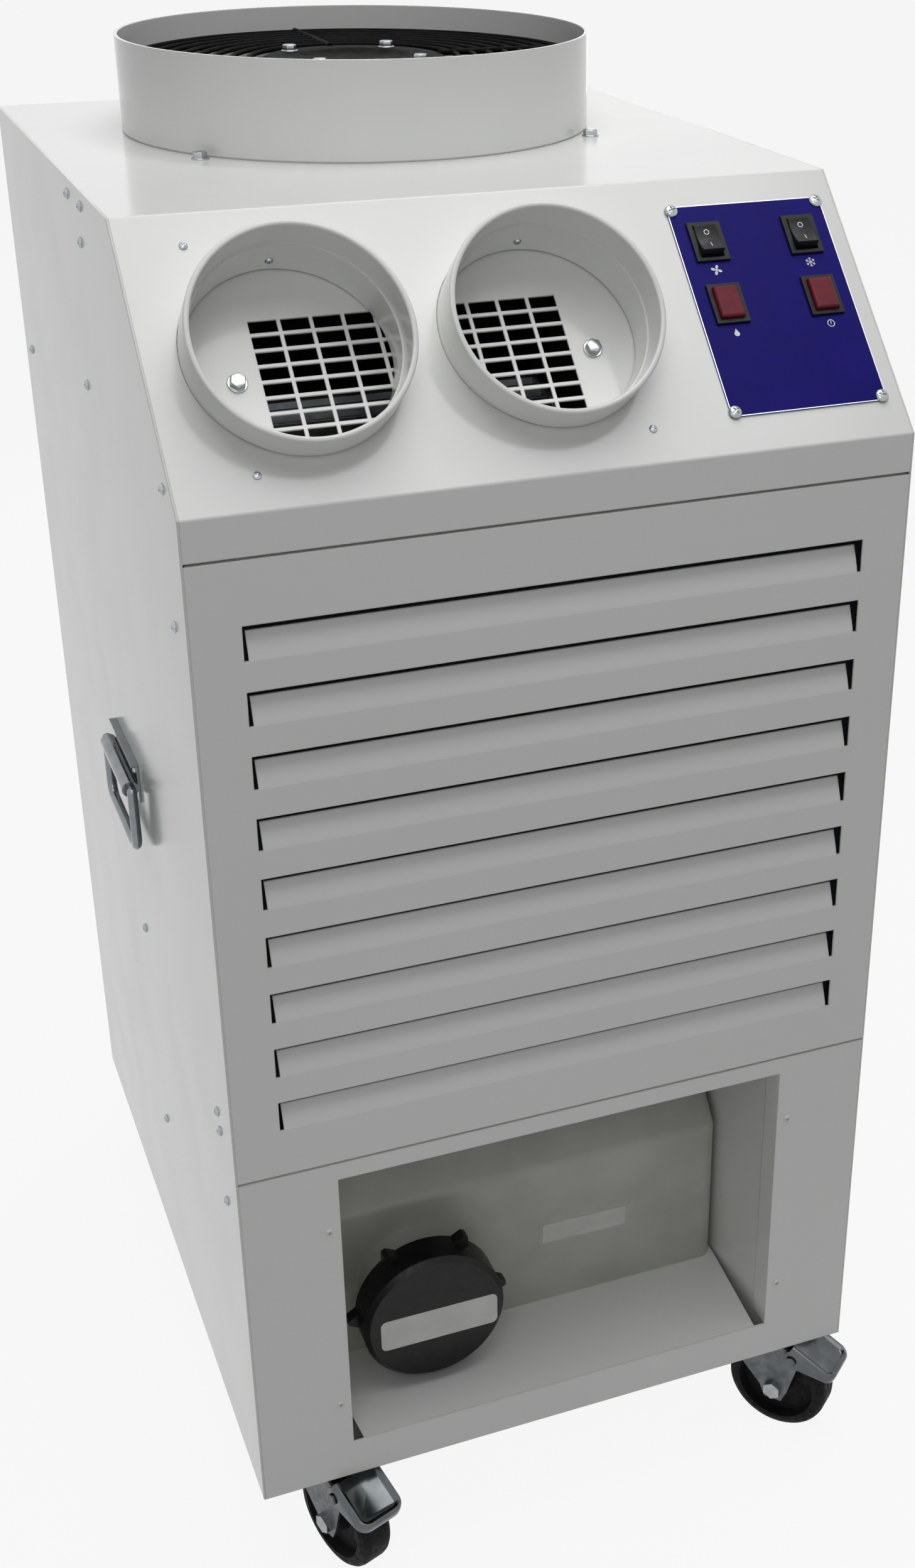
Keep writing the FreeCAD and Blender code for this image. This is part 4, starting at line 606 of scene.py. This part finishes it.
# Screws on the sides: how far back from the front, and how high over the cabinet's underside
SIDE_SCREWS = [
    (39, 829),
    (39, 736),
    (49, 346),
    (45, 331),
    (41, 269),
    (312, 824),
    (312, 357),
    (307, 163),
    (312, 962),
    (257, 963),
    (270, 936),
    (621, 775),
]
PLATE_SCREW_INSET = 3.5
SLOPE_SCREWS = [(-215, 193), (-204, 25), (67, 26)]
FRONT_SCREWS = [(193, 250), (193, 78)]
OUTLET_V = 109
OUTLET_TILT = 53
OUTLET_HALF_SPACING = 86.5
OUTLET_BORE = 68.9
OUTLET_SCREW_BACK = -12
# Each recess points its own way, as if driven by hand
SIDE_SPIN = 7
PLATE_SPIN = (20, 35)
screw = cross_screw(4, 2.2)
plate_screw = cross_screw(5, 2.6)
small_screw = cross_screw(3, 1.8)
screw_parts = []
painted_parts = []
for back, up in SIDE_SCREWS:
    for side in (-1, 1):
        place = at(HALF_WIDTH * side, FRONT_Y + back, LIFT + up)
        screw_parts.append((screw, place @ turned(90 * side, "Y") @ turned(back * SIDE_SPIN, "Z")))
for side in (-1, 1):
    for end in (-1, 1):
        u = PLATE_MID[0] + (PLATE_SIZE[0] / 2 - PLATE_SCREW_INSET) * side
        v = PLATE_MID[1] + (PLATE_SIZE[1] / 2 - PLATE_SCREW_INSET) * end
        spin = PLATE_SPIN[0] * side + PLATE_SPIN[1] * end
        screw_parts.append((plate_screw, on_slope(u, v, PLATE_SHEET) @ turned(spin, "Z")))
    for x, up in FRONT_SCREWS:
        place = at(x * side, FRONT_Y, LIFT + up) @ turned(90, "X")
        painted_parts.append((small_screw, place @ turned(up, "Z")))
    foot = on_slope(OUTLET_MID + OUTLET_HALF_SPACING * side, OUTLET_V, 0)
    collar = foot @ turned(OUTLET_TILT - SLOPE_TILT, "X")
    place = collar @ at(0, OUTLET_BORE, OUTLET_SCREW_BACK) @ turned(90, "X")
    screw_parts.append((small_screw, place))
for u, v in SLOPE_SCREWS:
    screw_parts.append((small_screw, on_slope(u, v, 0) @ turned(u, "Z")))
piece("cross_screws", joined(screw_parts), "cabinet", bright, ["panel_screws"])
piece("painted_screws", joined(painted_parts), "cabinet", powder)


# Hex bolts on washers; a washer's radii are shares of the head's radius
WASHER = [(0, 1), (1.15, 1), (1.22, 0.7), (1.22, 0), (0, 0)]
HEAD_FOOT = 0.9
HEAD_EDGE = 0.12


def hex_bolt(radius, height):
    """A hex head with a softened top, on its washer."""
    head = rod(radius, height, 6)
    bmesh.ops.translate(head, vec=(0, 0, height * MM / 2), verts=head.verts)
    near_top = height * MM * 0.9
    top = [e for e in head.edges if all(v.co.z > near_top for v in e.verts)]
    soften(head, radius * HEAD_EDGE, 3, top)
    washer = lathe([(radius * r, z) for r, z in WASHER], 32)
    return joined([(washer, at(0, 0, 0)), (head, at(0, 0, HEAD_FOOT))])


DUCT_BOLTS = (155.5, 121)
MOTOR_BOLTS = (41, 46)
MOTOR_DISC_Z = ROOF_Z + 52
GRILLE_BACK = 15.6
GRILLE_BOLT_HALF = 123.4
GRILLE_BOLT_V = 99
MOTOR_BOLT_SPIN = 25
GRILLE_BOLT_SPIN = 12
bolt = hex_bolt(5.6, 4.4)
bolt_parts = []
for side in (-1, 1):
    for end in (-1, 1):
        bolt_parts.append((bolt, at(DUCT_BOLTS[0] * side, DUCT_Y + DUCT_BOLTS[1] * end, ROOF_Z)))
        spot = at(MOTOR_BOLTS[0] * side, DUCT_Y + MOTOR_BOLTS[1] * end, MOTOR_DISC_Z)
        bolt_parts.append((bolt, spot @ turned(MOTOR_BOLT_SPIN * end, "Z")))
    place = on_slope(OUTLET_MID + GRILLE_BOLT_HALF * side, GRILLE_BOLT_V, -GRILLE_BACK)
    bolt_parts.append((bolt, place @ turned(GRILLE_BOLT_SPIN * side, "Z")))
piece("washer_bolts", joined(bolt_parts), "cabinet", bright, ["hex_bolts"])


# Finger guard: wire rings on four arms, which end at the rim of a pressed disc
GUARD_Z = ROOF_Z + 51
GUARD_WIRE = 2
WIRE_SIDES = 12
GUARD_RINGS = 8
GUARD_INNER = 84
GUARD_OUTER = 182.4
ARM_RADIUS = 2.4
ARM_SIDES = 16
ARM_START = 71
ARM_RISE = 0.8
DISC_PROFILE = [(0, -1), (45, -1), (49, 1), (71, 1), (73, 0), (73, -2), (0, -2)]


def wire_ring(radius):
    """A ring of round wire, with its middle on this radius."""
    profile = []
    for i in range(WIRE_SIDES + 1):
        angle = math.tau * i / WIRE_SIDES
        profile.append((radius + GUARD_WIRE * math.cos(angle), GUARD_WIRE * math.sin(angle)))
    return lathe(profile, 96)


guard_mid = at(0, DUCT_Y, GUARD_Z)
guard_parts = [(lathe(DISC_PROFILE, 72), guard_mid)]
for i in range(GUARD_RINGS):
    ring_radius = GUARD_INNER + (GUARD_OUTER - GUARD_INNER) * i / (GUARD_RINGS - 1)
    guard_parts.append((wire_ring(ring_radius), guard_mid))
arm_long = GUARD_OUTER + GUARD_WIRE - ARM_START
for quarter in range(4):
    place = guard_mid @ turned(90 * quarter, "Z") @ at(ARM_START + arm_long / 2, 0, ARM_RISE)
    guard_parts.append((rod(ARM_RADIUS, arm_long, ARM_SIDES), place @ turned(90, "Y")))
piece("fan_guard_wires", joined(guard_parts), "cabinet", matt_black, ["fan_guard"])


# Dome rivets that hold the handle plates to the sides
HANDLE_MID = (-26, LIFT + 516)
HANDLE_SHEET = 2
RIVET_HALF = 39
RIVET_UP = 12
RIVET_PROFILE = [(0, 1.9), (1.4, 1.7), (2.5, 1.1), (3.2, 0.2), (3.2, 0), (0, 0)]
rivet = lathe(RIVET_PROFILE, 24)
rivet_parts = []
for side in (-1, 1):
    for end in (-1, 1):
        y = HANDLE_MID[0] + RIVET_HALF * end
        place = at((HALF_WIDTH + HANDLE_SHEET) * side, y, HANDLE_MID[1] + RIVET_UP)
        rivet_parts.append((rivet, place @ turned(90 * side, "Y")))
piece("handle_rivets", joined(rivet_parts), "cabinet", bright)


# Rockers with a dished face, and the marks printed on them
ROCKER_SIZE = (17, 22.8)
ROCKER_RISE = 8
ROCKER_DIP = 5.6
ROCKER_BELOW = -3
ROCKER_TILT = 10
ROCKER_PIVOT = -1
ROCKER_CUTS = 11
ROCKER_EDGE = 0.8
ROCKER_SHARP = 40
MARK_RAISED = 0.12
MARK_Y = 5.6
# The O ring's radii and foot, and the I bar's size
RING_RADII = (1.5, 2.1)
RING_FOOT = -0.2
BAR_SIZE = (0.6, 4)


def flat_disc(radius, steps):
    """A disc of a mark's height."""
    return lathe([(0, 0), (radius, 0), (radius, MARK_RAISED), (0, MARK_RAISED)], steps)


def flat_ring(inner, outer, foot, steps):
    """A ring that stands up from its foot to a mark's height."""
    low = [(inner, foot), (outer, foot)]
    return lathe(low + [(outer, MARK_RAISED), (inner, MARK_RAISED), (inner, foot)], steps)


def rocker_height(y):
    """The dished face's height at a distance from the rocker's middle."""
    return ROCKER_DIP + (ROCKER_RISE - ROCKER_DIP) * (2 * y / ROCKER_SIZE[1]) ** 2


def rocker_moulding():
    """A block whose top follows the dished face, with softened edges."""
    bm = block(ROCKER_SIZE[0], ROCKER_SIZE[1], ROCKER_RISE - ROCKER_BELOW)
    lengthways = [e for e in bm.edges if abs(e.verts[0].co.y - e.verts[1].co.y) > MM]
    bmesh.ops.subdivide_edges(bm, edges=lengthways, cuts=ROCKER_CUTS, use_grid_fill=True)
    bmesh.ops.translate(bm, vec=(0, 0, ROCKER_BELOW * MM), verts=bm.verts)
    for vert in bm.verts:
        if vert.co.z > 0:
            vert.co.z = rocker_height(vert.co.y / MM) * MM
    soften(bm, ROCKER_EDGE, 3, sharp_edges(bm, ROCKER_SHARP))
    return bm


def on_rocker(y):
    """A place on the dished face, square to it."""
    lean = math.degrees(math.atan(8 * (ROCKER_RISE - ROCKER_DIP) * y / ROCKER_SIZE[1] ** 2))
    return at(0, y, rocker_height(y)) @ turned(lean, "X")


def rocker_marks():
    ring = flat_ring(*RING_RADII, RING_FOOT, 28)
    bar = block(*BAR_SIZE, MARK_RAISED)
    return joined([(ring, on_rocker(MARK_Y)), (bar, on_rocker(-MARK_Y))])


for body, node, side in (("fan_switch", "fan_rocker", -1), ("cooling_switch", "cooling_rocker", 1)):
    u = PLATE_MID[0] + SWITCH_HALF * side
    v = PLATE_MID[1] + ROCKER_ROW
    place = on_slope(u, v, ROCKER_PIVOT) @ turned(-ROCKER_TILT, "X")
    moulding = joined([(rocker_moulding(), place)])
    piece(node + "_moulding", moulding, body, abs_black, [node])
    marks = joined([(rocker_marks(), place)])
    piece(node + "_marks", marks, body, print_white)


# Brake pedals: pressings with a rolled rim, a bead inside it and a sunk tread
CASTER_PLACE = (200, -274)
PEDAL_HALF = 22.6
PEDAL_LONG = 46
PEDAL_REAR = (-50, -8)
PEDAL_DOWN = 27
PEDAL_CORNER = 11
PEDAL_SHEET = 1.5
CORNER_STEPS = 7
EAR_INSET = 0.2
# Each ring of the pressing: how far in from the rim, and how high over the tread's plane
PEDAL_RINGS = [
    (0, -8),
    (0.3, -4),
    (1, -1),
    (2.2, 0.9),
    (3.4, 1.5),
    (4.6, 0.9),
    (6, -1.4),
    (7.4, -2.2),
]
# An ear's outline from the side, from the caster's king pin: along Y, and up
EAR_SIDE = [
    (-48, -11.5),
    (-79, -27),
    (-79, -32),
    (-57, -30),
    (-50, -30),
    (-45, -28),
    (-42, -24),
    (-42, -19),
    (-44, -15),
]


def pedal_tread():
    """Rings that run down one side, round the toe and up the other, closed by the tread."""
    bm = bmesh.new()
    mid = PEDAL_HALF - PEDAL_CORNER
    rings = []
    for inset, high in PEDAL_RINGS:
        bend = PEDAL_CORNER - inset
        path = [(inset - PEDAL_HALF, 0)]
        for side, first in ((-1, 180), (1, 270)):
            for step in range(CORNER_STEPS + 1):
                angle = math.radians(first + 90 * step / CORNER_STEPS)
                x = mid * side + bend * math.cos(angle)
                path.append((x, PEDAL_CORNER - PEDAL_LONG + bend * math.sin(angle)))
        path.append((PEDAL_HALF - inset, 0))
        rings.append([bm.verts.new((x * MM, y * MM, high * MM)) for x, y in path])
    for outer, inner in zip(rings, rings[1:]):
        for i in range(len(outer) - 1):
            bm.faces.new((outer[i], outer[i + 1], inner[i + 1], inner[i]))
    bm.faces.new(rings[-1])
    bmesh.ops.recalc_face_normals(bm, faces=bm.faces)
    bm.normal_update()
    if sum(f.normal.z * f.calc_area() for f in bm.faces) < 0:
        bmesh.ops.reverse_faces(bm, faces=bm.faces)
    bmesh.ops.solidify(bm, geom=bm.faces[:], thickness=PEDAL_SHEET * MM)
    return bm


def pedal_ear():
    bm = bmesh.new()
    bm.faces.new([bm.verts.new((y * MM, z * MM, 0)) for y, z in EAR_SIDE])
    return thickened(bm, (0, 0, PEDAL_SHEET))


# Each caster's side, and how far it is swivelled at rest
for word, side, swivel in (("left", -1, 20), ("right", 1, 40)):
    caster = at(CASTER_PLACE[0] * side, CASTER_PLACE[1], LIFT) @ turned(swivel, "Z")
    pedal_parts = [(pedal_tread(), caster @ at(0, *PEDAL_REAR) @ turned(PEDAL_DOWN, "X"))]
    for x in (EAR_INSET - PEDAL_HALF, PEDAL_HALF - PEDAL_SHEET - EAR_INSET):
        pedal_parts.append((pedal_ear(), caster @ at(x, 0, 0) @ turned(90, "Z") @ turned(90, "X")))
    name = f"brake_pedal_{word}"
    pressing = joined(pedal_parts)
    # The pressing's steel is darkened as painted shade
    piece(name + "_pressing", pressing, f"{word}_pedal", pedal_plate, [name])


# Control plate: its bright cut edge, and plain pictograms under the switches and lamps
EDGE_RAISED = 0.1
EDGE_WIDE = 0.9


def plate_edge():
    """A thin frame along the plate's rim."""
    bm = block(*PLATE_SIZE, EDGE_RAISED)
    top = [f for f in bm.faces if f.normal.z > 0.5]
    bottom = [f for f in bm.faces if f.normal.z < -0.5]
    for face in top + bottom:
        bmesh.ops.inset_region(bm, faces=[face], thickness=EDGE_WIDE * MM)
    half_area = PLATE_SIZE[0] * PLATE_SIZE[1] * MM * MM / 2
    inner = [f for f in bm.faces if abs(f.normal.z) > 0.5 and f.calc_area() > half_area]
    bmesh.ops.bridge_loops(bm, edges=[e for f in inner for e in f.edges])
    bmesh.ops.delete(bm, geom=inner, context="FACES_ONLY")
    return bm


plate_place = on_slope(*PLATE_MID, PLATE_SHEET)
plate_rim = joined([(plate_edge(), plate_place)])
piece("control_plate_edge", plate_rim, "cabinet", bare_aluminium())

FAN_HUB = 0.9
FAN_BLADE = 1.7
FAN_BLADE_SLIM = 0.62
FAN_BLADE_SPOT = (0.8, 2.4, 0)
FAN_BLADE_LEAN = -24
FROST_SPOKE = (0.5, 3.8)
FROST_BARB = (0.45, 1.4)
FROST_BARB_OUT = 2.2
FROST_BARB_LEAN = 50
DROP_RADIUS = 2.1
DROP_TAPER = 0.8
DROP_STRETCH = 1.9
DROP_DOWN = -1
POWER_RING = (2.3, 2.9)
POWER_BAR = (0.6, 2.4)
POWER_BAR_UP = 0.6


def fan_mark():
    """Four leaning oval blades round a hub."""
    parts = [(flat_disc(FAN_HUB, 20), at(0, 0, 0))]
    blade = flat_disc(FAN_BLADE, 20)
    bmesh.ops.scale(blade, vec=(FAN_BLADE_SLIM, 1, 1), verts=blade.verts)
    for i in range(4):
        place = turned(90 * i, "Z") @ at(*FAN_BLADE_SPOT) @ turned(FAN_BLADE_LEAN, "Z")
        parts.append((blade, place))
    return parts


def frost_mark():
    """Six spokes, each with two short barbs."""
    spokes = [turned(60 * i, "Z") for i in range(6)]
    out = at(0, FROST_SPOKE[1] / 2, 0)
    parts = [(block(*FROST_SPOKE, MARK_RAISED), spoke @ out) for spoke in spokes]
    for spoke in spokes:
        for lean in (-FROST_BARB_LEAN, FROST_BARB_LEAN):
            foot = spoke @ at(0, FROST_BARB_OUT, 0) @ turned(lean, "Z")
            parts.append((block(*FROST_BARB, MARK_RAISED), foot @ at(0, FROST_BARB[1] / 2, 0)))
    return parts


def drop_mark():
    """A disc whose upper half is drawn out to a point."""
    drop = flat_disc(DROP_RADIUS, 28)
    for vert in drop.verts:
        if vert.co.y > 0:
            vert.co.x *= max(0, 1 - vert.co.y / (DROP_RADIUS * MM)) ** DROP_TAPER
            vert.co.y *= DROP_STRETCH
    return [(drop, at(0, DROP_DOWN, 0))]


def power_mark():
    """A ring and an upright bar."""
    ring = flat_ring(*POWER_RING, 0, 32)
    return [(ring, at(0, 0, 0)), (block(*POWER_BAR, MARK_RAISED), at(0, POWER_BAR_UP, 0))]


MARK_DROP = 22.5
mark_parts = []
for side, row, mark in (
    (-1, ROCKER_ROW, fan_mark()),
    (1, ROCKER_ROW, frost_mark()),
    (-1, LAMP_ROW, drop_mark()),
    (1, LAMP_ROW, power_mark()),
):
    spot = plate_place @ at(SWITCH_HALF * side, row - MARK_DROP, 0)
    mark_parts += [(bm, spot @ place) for bm, place in mark]
piece("control_plate_marks", joined(mark_parts), "cabinet", print_white)


# Blank labels on the cap and the tank: width, height and corner radius
CAP_LABEL = (100, 30, 5)
CAP_MID = (-100, -292, 211.3)
CAP_LABEL_SHIFT = (3, -5, 0)
TANK_LABEL = (78, 20, 1.5)
TANK_LABEL_PLACE = (56, -230, 214)
TANK_LABEL_LEAN = -1
LABEL_SHEET = 0.25


def label(wide, high, corner):
    """A thin sheet with rounded corners."""
    bm = block(wide, high, LABEL_SHEET)
    half_sheet = LABEL_SHEET * MM / 2
    upright = [e for e in bm.edges if abs(e.verts[0].co.z - e.verts[1].co.z) > half_sheet]
    soften(bm, corner, 4, upright)
    return bm


FACING_FRONT = turned(90, "X")
cap_label = [(label(*CAP_LABEL), at(*CAP_MID) @ FACING_FRONT @ at(*CAP_LABEL_SHIFT))]
piece("cap_label", joined(cap_label), "cap", label_white)
tank_place = at(*TANK_LABEL_PLACE) @ FACING_FRONT @ turned(TANK_LABEL_LEAN, "Z")
tank_label = [(label(*TANK_LABEL), tank_place)]
piece("tank_label", joined(tank_label), "tank", label_white)


# Floor and surroundings
FLOOR_HALF = 20
FLOOR_GLOW = 0.9
SKY_STRENGTH = 0.16


def seen_directly(tree):
    """1 for rays from the camera, a mirror or glass, and 0 for the light on the object."""
    rays = add(tree, "LightPath", {}).outputs
    straight = {0: rays["Is Camera Ray"], 1: rays["Is Glossy Ray"]}
    first = add(tree, "Math", straight, operation="MAXIMUM")
    through = {0: first.outputs[0], 1: rays["Is Transmission Ray"]}
    return add(tree, "Math", through, operation="MAXIMUM").outputs[0]


def studio_floor():
    """A pale floor that shows white to the camera and in reflections, and keeps the soft shadow."""
    material = bpy.data.materials.new("studio_floor")
    material.use_nodes = True
    tree = material.node_tree
    tree.nodes.clear()
    share = add(tree, "Math", {0: seen_directly(tree), 1: FLOOR_GLOW}, operation="MULTIPLY")
    matt = add(tree, "BsdfDiffuse", {"Color": linear("#E6E6E4")})
    glow = add(tree, "Emission", {"Color": linear("#FFFFFF"), "Strength": 1})
    mix = add(tree, "MixShader", {0: share.outputs[0], 1: matt.outputs[0], 2: glow.outputs[0]})
    add(tree, "OutputMaterial", {"Surface": mix.outputs[0]})
    return material


floor_bm = bmesh.new()
bmesh.ops.create_grid(floor_bm, x_segments=1, y_segments=1, size=FLOOR_HALF)
floor_mesh = bpy.data.meshes.new("floor")
floor_bm.to_mesh(floor_mesh)
floor_bm.free()
floor_mesh.materials.append(studio_floor())
floor = bpy.data.objects.new("floor", floor_mesh)
bpy.context.scene.collection.objects.link(floor)

world = bpy.data.worlds.new("studio")
bpy.context.scene.world = world
world.use_nodes = True
sky = world.node_tree
sky.nodes.clear()
soft = add(sky, "Background", {"Color": linear("#F4F6FA"), "Strength": SKY_STRENGTH})
white = add(sky, "Background", {"Color": linear("#FFFFFF"), "Strength": 1})
both = add(sky, "MixShader", {0: seen_directly(sky), 1: soft.outputs[0], 2: white.outputs[0]})
add(sky, "OutputWorld", {"Surface": both.outputs[0]})


# Lamps, in metres and watts
def softbox(name, place, target, wide, deep, watts):
    """A soft lamp of this size that looks at a target."""
    lamp = bpy.data.lights.new(name, "AREA")
    lamp.shape = "RECTANGLE"
    lamp.size = wide
    lamp.size_y = deep
    lamp.energy = watts
    item = bpy.data.objects.new(name, lamp)
    item.location = place
    item.rotation_euler = (Vector(target) - Vector(place)).to_track_quat("-Z", "Y").to_euler()
    bpy.context.scene.collection.objects.link(item)


softbox("ceiling_light", (0.1, -0.35, 3.4), (0, 0, 0.6), 2.4, 2.4, 40)
softbox("tube_light", (0.5, 0.45, 2.9), (0, 0, 0.9), 1.4, 0.12, 5)
softbox("front_fill", (-0.9, -2.5, 2.4), (0, 0, 0.7), 1.4, 1.4, 8.5)
softbox("back_fill", (0.9, 2.6, 0.65), (0, 0, 0.6), 1.2, 1.2, 6)

# Camera, fitted to the photograph: frame, focal length and middle in pixels
FRAME = (1457, 2496)
FOCAL = 3181.5
MIDDLE = (930.6, 1254.8)
RIGHT = Vector((0.9258, -0.37795, 0.00723))
DOWN = Vector((-0.1657, -0.42294, -0.89088))
FORWARD = Vector((0.33976, 0.82358, -0.45418))
SENSOR = 36
NEAREST = 0.05
EYE = (-471.0, -1499.8, 1340.1)
view = bpy.data.cameras.new("photo_view")
view.sensor_fit = "VERTICAL"
view.sensor_height = SENSOR
view.lens = FOCAL * SENSOR / FRAME[1]
view.shift_x = (FRAME[0] / 2 - MIDDLE[0]) / FRAME[1]
view.shift_y = (MIDDLE[1] - FRAME[1] / 2) / FRAME[1]
view.clip_start = NEAREST
camera = bpy.data.objects.new("photo_view", view)
turn = Matrix((RIGHT, -DOWN, -FORWARD)).transposed().to_4x4()
camera.matrix_world = at(*EYE) @ turn
bpy.context.scene.collection.objects.link(camera)
bpy.context.scene.camera = camera
bpy.context.scene.view_settings.view_transform = "Standard"
